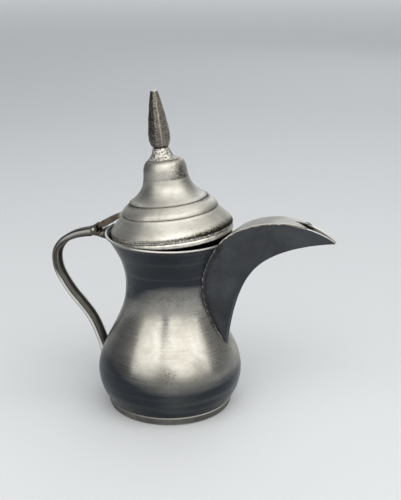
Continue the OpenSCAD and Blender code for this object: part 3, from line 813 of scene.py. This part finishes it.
# %% [markdown]
# The base and the small filed or soldered pieces have the right shape in the frame already, but
# with sharp corners and long thin faces. Modelling them again would gain nothing. A copy of
# each is remeshed to an even skin, which softens its corners, and pushed in and out a little.

# %% Base plate and its solder
MERGE = 1e-6              # metres


def copy_of(node, name):
    """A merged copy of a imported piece, free to be changed."""
    made = frame["nodes"][node].copy()
    made.data = made.data.copy()
    made.name = name
    made.parent = None
    scene.collection.objects.link(made)
    change_mesh(made, lambda bm: bmesh.ops.remove_doubles(bm, verts=bm.verts, dist=MERGE))
    return made


def worn_copy(node, name, grain_mm, lumps, size=1.2, smooth=3, seed=0):
    """A copy remeshed to an even skin, softened, and pushed in and out by a few tenths."""
    made = copy_of(node, name)
    skin = made.modifiers.new("skin", "REMESH")
    skin.mode, skin.voxel_size, skin.use_smooth_shade = "VOXEL", grain_mm * MM, True
    soft = made.modifiers.new("soft", "SMOOTH")
    soft.factor, soft.iterations = 0.5, smooth
    bake(made)
    mesh = made.data
    moved = np.empty(len(mesh.vertices) * 3)
    for i, v in enumerate(mesh.vertices):
        p = v.co / MM
        push = ripple(p, size, lumps, seed) + ripple(p, size * 0.4, lumps * 0.4, seed)
        moved[3 * i:3 * i + 3] = v.co + v.normal * MM * push
    mesh.vertices.foreach_set("co", moved)
    smooth_faces(mesh)
    mesh.update()
    return made


def worn_piece(node, name, wear, body, slot, finish, **rules):
    """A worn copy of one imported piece, finished."""
    finish_piece(worn_copy(node, name, *wear), body, [node], slot, finish, **rules)


worn_piece("base_plate", "base_sheet", (0.3, 0.05, 5), "pot", "tinned_sheet", foot_tin)
worn_piece("base_solder", "base_solder_run", (0.28, 0.1), "pot", "solder", solder)

# %% [markdown]
# ## Spout
# The beak is two cheeks cut from flat sheet, bent and soldered together along the keel, then
# soldered to the body. A flat sheet could be bent with a Lattice, but its edges would miss the
# body and each other. Here each cheek is a run of ribs between the keel curve and the upper
# edge, up the body's wall and then over the arch to the tip, so both edges lie where they are
# soldered. A narrow roof strip closes the arch and ends in a notch where the coffee pours.

# %% Spout curves
TIP_REACH, TIP_RISE, GAP = 80.5, 4.8, 0.03
WALL = sheet * 1.08       # across the pot; a cheek stands at a slant, so it is more than the sheet
tip_h = mouth_h + TIP_RISE
bend = np.array([mouth_r + 13.7, mouth_h - 11.7])
keel_low = [[body_r(KEEL_H) + 0.1, KEEL_H], [mouth_r + 1.7, KEEL_H + 15.6],
            [mouth_r + 4.7, bend[1] - 9.2], bend]
keel_high = [bend, bend + [8, 8.2], [TIP_REACH - 14.5, tip_h - 3.4], [TIP_REACH - 0.3, tip_h - 1]]
lip_out = lip[0] + LIP_R  # radius of the rolled lip's outside
flank = lip + LIP_R * np.array([math.cos(math.radians(-35)), math.sin(math.radians(-35))])
wall_below = fine_body[fine_body[:, 1] < lip[1] - LIP_R - 0.3]
seat = np.vstack([wall_below, [flank], [[lip_out, lip[1]]], [[lip_out, mouth_h]]])
root_x = math.sqrt((lip_out + GAP) ** 2 - ROOT_W ** 2)
arch = [[root_x, ROOT_W, mouth_h], [root_x + 7.3, ROOT_W - 1.2, mouth_h + 9.3],
        [TIP_REACH - 19.5, 5.3, tip_h + 13.2], [TIP_REACH, TIP_W, tip_h]]
SEAM_T = [0, 12 / 14, 13 / 14, 1]        # the seam slows down where it follows the lip
seam_z = [seam_h, wall_below[-1, 1], flank[1], mouth_h]
OUTER = [0, 0.006, 0.02, 0.045, 0.08, 0.13, 0.2, *np.linspace(0.28, 1, 15)]   # places along a rib
INNER = [1, *np.linspace(0.92, 0.2, 9), 0.12, 0.06, 0.02, 0]
stations = np.linspace(0, 2, 93)
print("ribs:", len(stations), "points in each:", len(OUTER) + len(INNER))


# %% Ribs and sections
def at_t(points, t):
    """One point of a cubic curve."""
    weights = ((1 - t) ** 3, 3 * t * (1 - t) ** 2, 3 * t * t * (1 - t), t ** 3)
    return sum(w * np.array(p, float) for w, p in zip(weights, points))


def body_x(y, z):
    """Place on the body's outside and its lip at height z and distance y from the middle."""
    return math.sqrt((np.interp(z, seat[:, 1], seat[:, 0]) + GAP) ** 2 - y * y)


def rib(t):
    """Keel point and upper edge point; t runs 0 to 1 up the wall, 1 to 2 over the arch."""
    if t < 1:
        z = np.interp(t, SEAM_T, seam_z)
        w = seam_w(z)
        return at_t(keel_low, t), np.array([body_x(w, z), w, z])
    return at_t(keel_high, t - 1), at_t(arch, t - 1)


def share(q):
    """Share of the half width at place q between keel and edge."""
    return math.sqrt(0.8 * q * q + 0.2 * q)


def fold(w):
    """Place where the inside of a cheek reaches the middle: share(q) times w is the wall and its gap."""
    m = (WALL + GAP) / w
    return (math.sqrt(0.04 + 3.2 * m * m) - 0.2) / 1.6


def cheek_ring(t):
    """Section of one cheek: out along the outside, back along the inside."""
    k, e = rib(t)
    q0 = fold(e[1])

    def place(q, y):
        x, z = k[0] + (e[0] - k[0]) * q, k[1] + (e[2] - k[1]) * q
        return [body_x(y, z) if t < 1 and q == 1 else x, y, z]
    outside = [place(q, max(GAP / 2, e[1] * share(q))) for q in OUTER]
    inner = [q0 + (1 - q0) * s for s in INNER]
    return outside + [place(q, max(GAP / 2, e[1] * share(q) - WALL)) for q in inner]


print("widest rib, mm:", round(rib(1)[1][1], 2))

# %% Waves and wear of the cheeks
BEAK_RIM, TROUGH = (62, 66), (70.5, 68.5)   # mm from the axis, where the rim's painted highlight fades in and the painted shade inside fades out
RING_SIZE = len(OUTER) + len(INNER)
keel_line = np.array([at_t(keel_low, t) for t in np.linspace(0, 1, 40)])
print("keel's low end at, mm:", [round(float(v), 1) for v in keel_line[0]])


def keel_x(z):
    """Place of the low keel at height z."""
    return np.interp(z, keel_line[:, 1], keel_line[:, 0])


def wavy_cheek(sign):
    """Sections of one cheek; its outside waves a little, as hand-bent sheet does."""
    rings = []
    for t in stations:
        ring = [Vector(p) for p in cheek_ring(t)]
        hold = min(1.0, t * 4) * min(1.0, (2 - t) * 3)
        for p in ring[4:len(OUTER) - 1]:
            p.y += hold * (ripple(p, 9, 0.25, sign) + ripple(p, 3, 0.05, sign + 4))
        for p in ring:
            p.y *= sign
        rings.append(ring)
    return rings


def cheek_oxide(p):
    """Dark along the body seam and at the root, lighter by the keel."""
    return 0.75 * max(0.0, 1 - off_wall(p) / 3.5) * (1 if p.z < mouth_h else 0.4) + 0.2 * near(p.z, 84, 6)


def keel_edge(p):
    """A painted highlight: a thin bright line down the low keel."""
    return 0.1 * near(p.x, keel_x(p.z) - 0.6, 0.5) * smoothly(p.z, bend[1] - 8, bend[1] - 20)


def keel_smoke(p):
    """Painted shade along the low keel."""
    return 0.75 * near(p.x, keel_x(p.z), 5) * smoothly(p.z, bend[1] + 4, bend[1] - 6)


# %% Cheeks
for sign, node, name in ((1, "spout_cheek_left", "cheek_left"), (-1, "spout_cheek_right", "cheek_right")):
    rings = wavy_cheek(sign)
    cheek = tube(name, rings)
    paint(cheek, "oxide", cheek_oxide)
    paint(cheek, "edge", keel_edge)
    paint(cheek, "smoke", keel_smoke)
    # The beak's rim gets a painted highlight, and the inside behind it is darkened as painted shade, turning
    # a lighter brown at the tip
    edge, oxide = (cheek.data.attributes[layer].data for layer in ("edge", "oxide"))
    for i, ring in enumerate(rings):
        for k, p in enumerate(ring):
            at = i * RING_SIZE + k
            if k in (len(OUTER) - 1, len(OUTER)):
                edge[at].value = smoothly(p.x, *BEAK_RIM)
            elif k > len(OUTER):
                oxide[at].value = 0.3 + 0.7 * smoothly(p.x, *TROUGH)
                edge[at].value = 0.12 * smoothly(p.x, 69, 71)
    finish_piece(cheek, "pot", [node], "dark_sheet", cheek_tin)

# %% [markdown]
# The roof strip lies on the cheeks' edges. It is a shallow strip, so a tube of flat rings makes
# it, and a wedge cuts the notch at its end.

# %% Roof strip
ROOF_END, NOTCH, NOTCH_W = 69.0, 61.3, 3.3
ROOF_POINTS = 13          # points across the strip
ROOF_GAP, CROWN = 0.06, 0.12
ROOT_HOLD = (29.2, 9.7)   # the strip's start follows a circle of this radius, up to this half width


def roof_ring(t):
    """Section of the strip, with its start bent round the mouth."""
    p = at_t(arch, t)
    w = p[1] + 0.1
    across = np.linspace(-1, 1, ROOF_POINTS)
    under = p[2] + ROOF_GAP
    hold_r, hold_w = ROOT_HOLD
    low = [[max(p[0], math.sqrt(hold_r ** 2 - min(hold_w, abs(w * v)) ** 2)), w * v, under] for v in across]
    thick = sheet * (1 - 0.7 * smoothly(p[0], 62, 69))      # filed thin at the beak
    high = [[q[0], v * (w - 0.12), under + thick - CROWN * v * v] for q, v in zip(low, across)]
    return low + high[::-1]


roof_rings = []
for t in np.linspace(0, 0.93, 60):
    ring = [Vector(p) for p in roof_ring(t)]
    if ring[0].x < ROOF_END:
        for p in ring[ROOF_POINTS:]:
            p.z += ripple(p, 5, 0.12, 7)
        roof_rings.append(ring)
roof = tube("roof_strip", roof_rings)
wedge_side = [(NOTCH, 0), (ROOF_END, -NOTCH_W), (TIP_REACH, -5), (TIP_REACH, 5), (ROOF_END, NOTCH_W)]
cut(roof, tube("wedge", [[(x, y, z) for x, y in wedge_side] for z in (mouth_h, mouth_h + 30)]))

rim_x, rim_y = zip(*((ring[0].x, ring[ROOF_POINTS - 1].y) for ring in roof_rings))
# A painted highlight runs along both side edges of the strip; it is darker at its root and at the notch's
# point
finish_piece(roof, "pot", ["spout_roof"], "tinned_sheet", roof_tin,
             oxide=lambda p: (0.35 * near(p.x, root_x, 4)
                              + 0.5 * near(abs(p.y), 0, 1.4) * near(p.x, NOTCH, 3)),
             edge=lambda p: 0.6 * near(abs(p.y), np.interp(p.x, rim_x, rim_y), 0.5))

# %% [markdown]
# ## Solder
# Soft solder is wiped along a seam and freezes in beads and ridges. The broad runs are in the
# frame and only need their skin worn. Along the arch it shows as a thin ridge. A curve with a
# bevel would be as even as a wire, so a node tree makes it: a path becomes a bead whose course
# and thickness wander.

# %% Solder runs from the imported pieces
def seam_glints(p):
    """Painted glints: bright specks where the root run meets the wall, more of them low down."""
    specks = clamp(0.3 + 1.2 * ripple(p, 0.9, 1, 5) + 0.9 * smoothly(p.z, 46, 38))
    return near(off_wall(p), 0.05, 0.4) * specks


worn_piece("spout_keel_solder", "keel_solder_run", (0.25, 0.08), "pot", "solder", seam_solder)
worn_piece("spout_root_solder", "root_solder_run", (0.2, 0.1, 1.6, 2), "pot", "solder", seam_solder,
           edge=seam_glints, oxide=lambda p: 0.7 * smoothly(off_wall(p), 0.2, 0.5))
worn_piece("handle_foot_solder", "strap_foot_solder", (0.2, 0.14), "pot", "solder", solder)
worn_piece("hinge_solder", "hinge_solder_run", (0.16, 0.12), "pot", "solder", dark_solder)

# %% Beads along a path
BEAD_STEP, BEAD_SIDES = 0.22, 12         # mm between rings, and points in each
bead_tree, add, given = node_group("solder_bead", {
    "Radius": (FLOAT, 0.0005), "Wander": (FLOAT, 0.0001), "Lumps": (FLOAT, 0.0002),
    "Lump Size": (FLOAT, 0.0015), "Finish": (MATERIAL, None)})
line = add("GeometryNodeMeshToCurve", {"Mesh": given["Geometry"]})
even = add("GeometryNodeResampleCurve", {"Curve": line, "Length": BEAD_STEP * MM}, mode="LENGTH")
per_lump = add("ShaderNodeMath", {0: 1.0, 1: given["Lump Size"]}, operation="DIVIDE")
# Noise moves the path to any side, by twice the given length at most
drift = add("ShaderNodeTexNoise", {"Scale": per_lump, "Detail": 1.0}).outputs["Color"]
centred = add("ShaderNodeVectorMath", {0: drift, 1: (0.5, 0.5, 0.5)}, operation="SUBTRACT")
wander = add("ShaderNodeVectorMath", {0: centred, "Scale": given["Wander"]}, operation="SCALE")
shift = add("ShaderNodeVectorMath", {0: wander, "Scale": 4.0}, operation="SCALE")
bent = add("GeometryNodeSetPosition", {"Geometry": even, "Offset": shift})
ring = add("GeometryNodeCurvePrimitiveCircle", {"Resolution": BEAD_SIDES, "Radius": given["Radius"]})
skin = add("GeometryNodeCurveToMesh", {"Curve": bent, "Profile Curve": ring, "Fill Caps": True})
# Lumps push the skin out along its normal, and hollows pull it in
lumpy = add("ShaderNodeTexNoise", {"Scale": per_lump, "Detail": 3.0})
either_way = add("ShaderNodeMath", {0: lumpy, 1: -0.45}, operation="ADD")
sized = add("ShaderNodeMath", {0: either_way, 1: given["Lumps"]}, operation="MULTIPLY")
swell = add("ShaderNodeMath", {0: sized, 1: 3.0}, operation="MULTIPLY")
push = add("ShaderNodeVectorMath", {0: add("GeometryNodeInputNormal"), "Scale": swell}, operation="SCALE")
formed = add("GeometryNodeSetPosition", {"Geometry": skin, "Offset": push})
finish_tree(add, add("GeometryNodeSetShadeSmooth", {"Geometry": formed}), given)
print("bead tree:", len(bead_tree.nodes), "nodes")


# %% Beads on the arch
def bead(name, path, radius, lumps, size, finish, wander=0.1, closed=False):
    """A bead of metal along a path of points in mm."""
    made = placed(name, bpy.data.meshes.new(name))
    edges = [(i, i + 1) for i in range(len(path) - 1)] + ([(len(path) - 1, 0)] if closed else [])
    made.data.from_pydata([tuple(v * MM for v in p) for p in path], edges, [])
    run_nodes(made, bead_tree, {"Radius": radius * MM, "Lumps": lumps * MM, "Wander": wander * MM,
                                "Lump Size": size * MM, "Finish": finish})
    point_outwards(made)
    return made


arch_points = [at_t(arch, t) for t in np.linspace(0.02, 0.9, 70)]
for sign, name in ((1, "left"), (-1, "right")):
    path = [Vector((p[0], sign * (p[1] - 0.05), p[2] + 0.2)) for p in arch_points if p[0] < ROOF_END]
    ridge = bead(f"arch_solder_{name}", path, 0.17, 0.1, 2.6, brown_solder, 0.08)
    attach(ridge, "pot")
    print(ridge.name, len(ridge.data.polygons), "faces")

# %% [markdown]
# ## Handle
# The handle is one strap folded to a channel, hollow side towards the pot. A curve object could
# carry one section along its path, but here the section changes: its width stays the same while
# the flanges grow shallower where it meets the belly. So the rings are placed one by one along
# three curves in the middle plane. Each fold gets a round with a painted highlight along it.

# %% Strap path and section
LOOP_REACH, LOOP_H, STRAP_W, STRAP_D, FOOT_H = 63.4, 65.8, 6.0, 3.4, 17.5
elbow = np.array([-47.2, 39.8])
strap_top = np.array([pin.x - 2.4, pin.z + 0.3])
strap_foot = [-(body_r(FOOT_H) + 1.6), FOOT_H]
loop = np.array([-LOOP_REACH, LOOP_H])
outer_path = np.vstack([
    cubic([strap_top, strap_top + [-9.8, -2.6], loop + [0, 11.7], loop], 34, False),
    cubic([loop, loop - [0, 8.8], elbow + [-9.3, 9.8], elbow], 34, False),
    cubic([elbow, elbow + [5.2, -5.5], [-(belly_r + 3.8), 26], strap_foot], 34)])
slope = np.gradient(outer_path, axis=0)
slope /= np.linalg.norm(slope, axis=1)[:, None]
inward = np.stack([-slope[:, 1], slope[:, 0]], -1)


def strap_section(depth, brightness):
    """Channel section with round folds, as across, depth and painted highlight of each point."""
    w, b = STRAP_W / 2, min(1.5, depth * 0.45)              # half width, and radius of the fold
    b_in, flat = max(0.3, b - sheet), depth - 0.25
    arc = [(w - b + b * math.sin(a), b - b * math.cos(a), brightness * smoothly(a, 0.95, 1.4))
           for a in quarter(7)]
    rest = flat - b
    flange = [(w - 0.02, b + rest * 0.25, brightness ** 3), (w - 0.05, b + rest * 0.65, 0.05),
              (w - 0.1, flat, 0.0), (w - 0.18, depth - 0.06, 0.4), (w - 0.35, depth, 0.6),
              (w - sheet + 0.12, depth - 0.06, 0.4), (w - sheet, flat, 0.0)]
    inner_arc = [(w - sheet - b_in + b_in * math.cos(a), sheet + b_in - b_in * math.sin(a), 0.2)
                 for a in quarter(4)]
    half_line = arc + flange + inner_arc
    return half_line + [(-y, d, e) for y, d, e in half_line[::-1]]


print("strap path, mm:", round(float(np.hypot(*np.diff(outer_path, axis=0).T).sum()), 1))

# %% Strap
ARC_LAST = 6              # number of the last point of the fold's arc
TOP_EXTRA, TOP_FADE = 0.9, 0.053         # the flanges are deeper at the top, and less so from ring to ring

strap_rings, strap_edges = [], []
for i, (p, n) in enumerate(zip(outer_path, inward)):
    room = -p[0] - math.sqrt((body_r(p[1]) + GAP) ** 2 - (STRAP_W / 2) ** 2)
    deeper = max(0.0, TOP_EXTRA - i * TOP_FADE)
    depth = min(STRAP_D + deeper, max(sheet + 0.3, (room - GAP) / max(0.6, abs(n[0]))))
    along = i / len(outer_path)
    # How strong the painted highlight on the folds is along the strap
    brightness = 0.65 * smoothly(along, 0.27, 0.14) + 0.15 * near(along, 0.3, 0.2) + smoothly(along, 0.36, 0.5)
    section = strap_section(max(depth, sheet + 0.45), brightness)
    sway, lift = (ripple((p[0], 0, p[1]), *rule) for rule in ((14, 0.25, 2), (9, 0.2, 6)))
    strap_rings.append([Vector((p[0] + n[0] * (d + lift), y + sway, p[1] + n[1] * (d + lift)))
                        for y, d, e in section])
    strap_edges += [e for y, d, e in section]
count = len(strap_rings[0])
half_count = count // 2
arc_caps = [[k, k + 1, count - 2 - k, count - 1 - k] for k in range(ARC_LAST)]
right_cap = list(range(ARC_LAST, half_count))
left_cap = [count - 1 - k for k in reversed(right_cap)]
web_cap = [ARC_LAST, half_count - 1, half_count, count - 1 - ARC_LAST]
strap = tube("handle_channel", strap_rings, arc_caps + [right_cap, left_cap, web_cap])
paint_values(strap, "edge", strap_edges)
print("strap rings:", len(strap_rings), "points:", count)


def strap_oxide(p):
    """Dull flanges, and dirt half way down; the hollow is cleaner."""
    i = np.argmin(np.hypot(outer_path[:, 0] - p.x, outer_path[:, 1] - p.z))
    depth = (p.x - outer_path[i, 0]) * inward[i, 0] + (p.z - outer_path[i, 1]) * inward[i, 1]
    if abs(p.y) < STRAP_W / 2 - 0.5 and depth > 0.6:
        return 0.15
    return 0.08 + 0.4 * smoothly(depth, 1.3, 3) + 0.25 * near(p.z, 30, 9)


finish_piece(strap, "pot", ["handle_strap"], "strap_metal", strap_tin, oxide=strap_oxide)

# %% [markdown]
# ## Hinge
# A plate soldered to the neck carries two ears, and a wire pin through them holds the folded
# tongue of the lid. These are snipped and filed by hand, so their corners are soft and their
# faces uneven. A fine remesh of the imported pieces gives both.

# %% Bracket, pin and tongue
LEAF_W, PIN_ROUND = 3.5, 0.5             # half width of plate and tongue; round of the pin's ends

# The plate is darkened, partly oxide and partly painted shade under the tongue, lighter near its outer end,
# with a faint painted highlight along its sides
worn_piece("hinge_bracket", "hinge_plate", (0.15, 0.07, 1.5, 2), "pot", "strap_metal", dark_solder,
           oxide=lambda p: 0.75 - 0.4 * near(p.x, -40, 3),
           edge=lambda p: 0.12 * near(abs(p.y), LEAF_W, 0.35))

pin_r = (pin_high.x - pin_low.x) / 2
pin_half = (pin_high.y - pin_low.y) / 2
turn_pin = Matrix.Translation((pin.x, 0, pin.z)) @ Matrix.Rotation(math.pi / 2, 4, "X")
pin_section = [(pin_r * math.sin(a), -pin_half + PIN_ROUND * (1 - math.cos(a))) for a in quarter(7, 0.02)]
pin_section += [(r, -z) for r, z in pin_section[::-1]]
wire_pin = tube("hinge_wire", [[turn_pin @ polar(r, a, z) for a in around(40)] for r, z in pin_section])
# A painted glint at each end of the pin
finish_piece(wire_pin, "pot", ["hinge_pin"], "pin_wire", wire,
             edge=lambda p: 0.3 * near(abs(p.y), pin_half, 0.3), oxide=lambda p: 0.35)

# A painted highlight along the tongue's side edges, on the part towards the lid
worn_piece("lid_tongue", "lid_leaf", (0.15, 0.07, 1.6, 2, 5), "lid", "strap_metal", tongue_tin,
           oxide=lambda p: 0.15 + 0.25 * near(p.x, -33, 5),
           edge=lambda p: 0.6 * near(abs(p.y), LEAF_W, 0.4) * smoothly(p.x, -25.5, -23.5))

# %% [markdown]
# ## Lid
# The lid is spun in three tiers with a flat cap. It rests ajar, tilted about the hinge, so its
# outline is drawn upright and turned like the body's, and the finished mesh is then moved into
# the tilted frame. Tilting the object itself would not last, because the export puts every
# object back upright. A hammered wire ring stiffens the edge and drops inside the mouth.

# %% Lid frame
DOME_H, LID_INSET, LID_X, LID_DROP = 33.2, 1.5, 1.7, 2.9
CAP_R, NECK_R, TANG_R, GROOVE = 9.1, 6.4, 1.5, 0.45
tang_hole = TANG_R + 0.03
tier_c, tier_b, tier_a = (DOME_H * share_up for share_up in (0.268, 0.422, 0.741))
lid_frame = (Matrix.Translation((pin.x, 0, pin.z)) @ Matrix.Rotation(-LID_TILT, 4, "Y")
             @ Matrix.Translation((-pin.x + LID_X, 0, mouth_h - LID_DROP - pin.z)))
to_lid = lid_frame.inverted()
dome_r = mouth_r - LID_INSET
r_c, r_b, r_a = dome_r - 6.35, dome_r - 10.5, dome_r - 18.1     # radius at the top of each tier
print("lid stands at, mm:", [round(v, 2) for v in lid_frame.translation])


# %% Dome
def tier(steps, *points):
    """One curve of the dome's outline, without its last point."""
    return cubic(points, steps, False)


dome_line = np.vstack([
    [[dome_r - 0.9, 0.05], [dome_r - 0.45, 0.2], [dome_r - 0.2, 0.6]],
    tier(22, [dome_r - 0.1, 1.5], [dome_r - 0.8, 3.6], [dome_r - 3.7, tier_c - 3.3], [r_c, tier_c]),
    [[r_c - GROOVE, tier_c + 0.25]],
    tier(18, [dome_r - 6.1, tier_c + 0.5], [dome_r - 6.4, tier_c + 2.3],
         [dome_r - 8.4, tier_b - 1.6], [r_b, tier_b]),
    [[r_b - GROOVE, tier_b + 0.25]],
    tier(26, [dome_r - 10.4, tier_b + 0.5], [dome_r - 14.8, tier_b + 2.8],
         [dome_r - 17.8, tier_a - 4], [r_a, tier_a]),
    [[r_a - GROOVE * 0.6, tier_a + 0.3], [r_a - 0.2, tier_a + 0.7]],
    tier(16, [CAP_R + 1, DOME_H - 4], [CAP_R + 0.3, DOME_H - 1.6],
         [CAP_R - 0.1, DOME_H - 0.3], [NECK_R, DOME_H]),
    [[NECK_R, DOME_H], [tang_hole, DOME_H + 0.02]]])
dome_inside = inset(dome_line, sheet)
dome_inside[-1] = [tang_hole, DOME_H - sheet]


def dome_wave(p, a):
    """Hand marks of the spun dome, in the upright frame."""
    push = min(1.0, p.z / 4) * (ripple(p, 11, 0.16, 12) + ripple(p, 3.5, 0.05, 15))
    return outward(a) * (push * (p.z < DOME_H - 0.6))


def lid_spun(name, section, turns, shake, frame=lid_frame):
    """A spun piece in the tilted frame of the lid."""
    made = spun(name, section, turns, shake)
    made.data.transform(Matrix.Scale(1 / MM, 4))
    made.data.transform(frame)
    made.data.transform(Matrix.Scale(MM, 4))
    point_outwards(made)
    return made


dome = lid_spun("lid_dome_sheet", [*dome_line, *dome_inside[::-1]], TURNS, dome_wave)

# %% Wear on the dome
CAMERA_TURN, BURNT_TURN = -66, -8        # degrees round the lid, 0 towards the spout
STAIN = Vector((9.2, -3.4, DOME_H - 4.5))


def lid_turn(p):
    """The point in the lid's own frame, and its angle round the lid, 0 towards the spout."""
    q = to_lid @ p
    return q, math.atan2(q.y, q.x)


def dome_dirt(p):
    """Oxide in the creases with painted shade that grows towards the sides as seen from the camera, burnt
    flux above the ring, a stain on the cap.
    """
    q, turn = lid_turn(p)
    r = math.hypot(q.x, q.y)
    off_camera = 0.5 - 0.5 * math.cos(2 * (turn - math.radians(CAMERA_TURN)))
    burnt = facing(turn, BURNT_TURN) ** 3
    inside = r < np.interp(q.z, dome_line[:, 1], dome_line[:, 0]) - 0.4 and q.z < DOME_H - 0.5
    crease_oxide_and_shade = ((0.08 + 0.75 * off_camera) * near(q.z, tier_c + 0.2, 0.9 + off_camera)
               + (0.15 + 0.8 * off_camera) * near(q.z, tier_b + 0.2, 0.9 + 1.1 * off_camera)
               + 0.5 * near(q.z, tier_a + 0.4, 0.6))
    flux = (0.72 + 0.4 * burnt) * near(q.z, 1.3, 1.0 + 2.5 * burnt)
    cap = 0.72 * near((q - STAIN).length, 0, 8) + 0.5 * near(q.z, DOME_H, 1.2) * near(r, NECK_R + 1, 2)
    return crease_oxide_and_shade + flux + cap + 0.45 * inside


def dome_smoke(p):
    """Painted shade on the far left, most on the cap, and a little on the cone to tone down its highlight."""
    q, turn = lid_turn(p)
    left = 0.5 * facing(turn, FAR_LEFT) ** 3 * (0.5 + smoothly(q.z, tier_a - 3, tier_a + 2))
    return left + 0.2 * near(q.z, (tier_a + tier_b) / 2, 7)


def dome_highlights(p):
    """Painted highlights on the shoulders below one crease and above the other."""
    z = (to_lid @ p).z
    return 0.45 * near(z, tier_c - 0.5, 0.6) + 0.35 * near(z, tier_b + 1.1, 0.7)


finish_piece(dome, "lid", ["lid_dome"], "tinned_sheet", lid_tin,
             oxide=dome_dirt, smoke=dome_smoke, edge=dome_highlights)

# %% [markdown]
# The ring is a length of thick wire, bent round, hammered and soldered in place. The bead tree
# serves again, with a closed path, a thick radius and slow lumps.

# %% Ring and its solder
WIRE_R = 1.6


def ring_oxide(p):
    """Dirt in the corners above and below the wire."""
    z = (to_lid @ p).z
    return 0.1 + 0.45 * near(z, -0.2, 0.8) + 0.3 * near(z, -2.8, 0.8)


def ring_solder_oxide(p):
    """A dark line at the top of the solder, fading towards the hinge."""
    q, turn = lid_turn(p)
    return 0.6 * near(q.z, 0.9, 0.45) * smoothly(math.cos(turn - math.pi), 0.5, 0)


ring_r = dome_r + 0.1 - WIRE_R
circle = [lid_frame @ polar(ring_r, a, -WIRE_R) for a in around(360)]
hoop = bead("lid_wire_ring", circle, WIRE_R - 0.08, 0.16, 3.5, wire, 0.05, closed=True)
finish_piece(hoop, "lid", ["lid_ring"], "tinned_sheet", wire, oxide=ring_oxide)
worn_piece("lid_ring_solder", "lid_ring_solder_run", (0.2, 0.2, 1.1, 1, 8), "lid", "solder", solder,
           oxide=ring_solder_oxide)

# %% [markdown]
# ## Finial
# The finial is a small casting with eight flats, filed and never polished. A plain turned mesh
# with eight sides would have knife edges, so the radius follows a soft eight-sided rule
# instead. Below it is a cone of solder, and a tang holds both to the cap.

# %% Finial outline
FINIAL_LEN, FINIAL_R, NECK_H, FINIAL_OFF = 26.7, 5.2, 5.2, -0.9
FLAT = math.radians(-70)                 # the first flat; narrow and wide ones take turns
NARROW, WIDE, SHARPNESS = math.radians(16), math.radians(29), 70
CORNER_R = 0.985          # radius at a corner, as a share of the round one
finial_frame = lid_frame @ Matrix.Translation((FINIAL_OFF, 0, 0))
to_finial = finial_frame.inverted()
finial_base = DOME_H + NECK_H
profile = np.array([(0.02, 0), (0.6, 0), (0.66, 0.006), (0.84, 0.04), (1, 0.14), (1.005, 0.195), (1, 0.25),
                    (0.83, 0.5), (0.58, 0.78), (0.36, 0.965), (0.32, 0.987), (0.22, 0.998), (0.02, 1)])
steps = np.linspace(0, len(profile) - 1, 110)
finial_line = np.stack([np.interp(steps, range(len(profile)), profile[:, 0]) * FINIAL_R,
                        np.interp(steps, range(len(profile)), profile[:, 1]) * FINIAL_LEN], -1)
kernel = np.array([1, 3, 4, 3, 1]) / 12
for column in (0, 1):
    finial_line[2:-2, column] = np.convolve(finial_line[:, column], kernel, "valid")
print("finial length and radius, mm:", finial_line[:, ::-1].max(axis=0).round(2))


# %% Finial
def eight_flats(a):
    """Radius of a soft eight-sided rule with corners near radius 1."""
    reach = [max(0.0, math.cos(a - FLAT - k * math.pi / 4)) / math.cos((NARROW, WIDE)[k % 2])
             for k in range(8)]
    return CORNER_R / sum(r ** SHARPNESS for r in reach) ** (1 / SHARPNESS)


def finial_ring(r, z):
    """One ring of the casting, with its filed lumps and cast pits."""
    ring = []
    for a in around(128):
        q = polar(r * eight_flats(a), a, finial_base + z)
        dent = min(1.0, r / 2) * (ripple(q, 2.2, 0.14, 20) - 0.12 * max(0, noise.noise(q / 0.9) - 0.15))
        ring.append(finial_frame @ (q + outward(a) * dent))
    return ring


def flat_turn(p):
    """Height on the finial and angle from its first flat."""
    q = to_finial @ p
    return q.z - finial_base, (math.atan2(q.y, q.x) - FLAT + math.pi) % (2 * math.pi) - math.pi


def finial_shade(p):
    """Painted shade on the flats, as a dark reflection: the first a little, the next one clockwise most."""
    turn = math.degrees(flat_turn(p)[1])
    return 0.16 * near(turn, 0, 20) ** 0.3 + 0.58 * near(turn, -48, 34) ** 0.3


def finial_edge(p):
    """A painted highlight on the tip, and fainter ones on the corners of one side."""
    up, turn = flat_turn(p)
    corner = near(abs((turn + math.pi / 4) % (math.pi / 2) - math.pi / 4), NARROW, math.radians(5))
    return smoothly(up, FINIAL_LEN - 0.9, FINIAL_LEN - 0.3) + 0.4 * corner * (turn > 0)


finial = tube("cast_finial", [finial_ring(r, z) for r, z in finial_line])
finish_piece(finial, "lid", ["finial"], "cast_metal", casting, oxide=finial_shade, edge=finial_edge)

# %% Solder cone and tang
cone_line = np.array([
    (tang_hole, DOME_H + 0.05), (NECK_R + 0.3, DOME_H + 0.05), (NECK_R - 0.1, DOME_H + 0.35),
    (NECK_R - 0.5, DOME_H + 0.9), (NECK_R - 1.2, DOME_H + 1.7), (NECK_R - 1.7, DOME_H + 2.4),
    (4.25, DOME_H + 3.6), (4, finial_base - 0.6), (3.7, finial_base - 0.03), (tang_hole, finial_base - 0.03)])
numbers = range(len(cone_line))
cone_side = [[np.interp(s, numbers, cone_line[:, k]) for k in (0, 1)] for s in np.linspace(1, 8, 40)]


def solder_lumps(p, a):
    """Crystalline lumps of the wiped cone."""
    away = clamp(math.hypot(p.x, p.y) / 3 - 0.6)
    return outward(a) * away * (ripple(p, 1.6, 0.3, 30) + ripple(p, 0.7, 0.12, 33))


cone_section = [cone_line[0], *cone_side, cone_line[-1]]
cone = lid_spun("finial_solder_cone", cone_section, 144, solder_lumps, finial_frame)
finish_piece(cone, "lid", ["finial_solder"], "solder", solder)
for slot in frame["nodes"]["finial_tang"].material_slots:
    slot.material = casting

# %% [markdown]
# ## Finish
# The Standard view shows the colours as they were chosen.

# %% Finish
scene.view_settings.view_transform = "Standard"
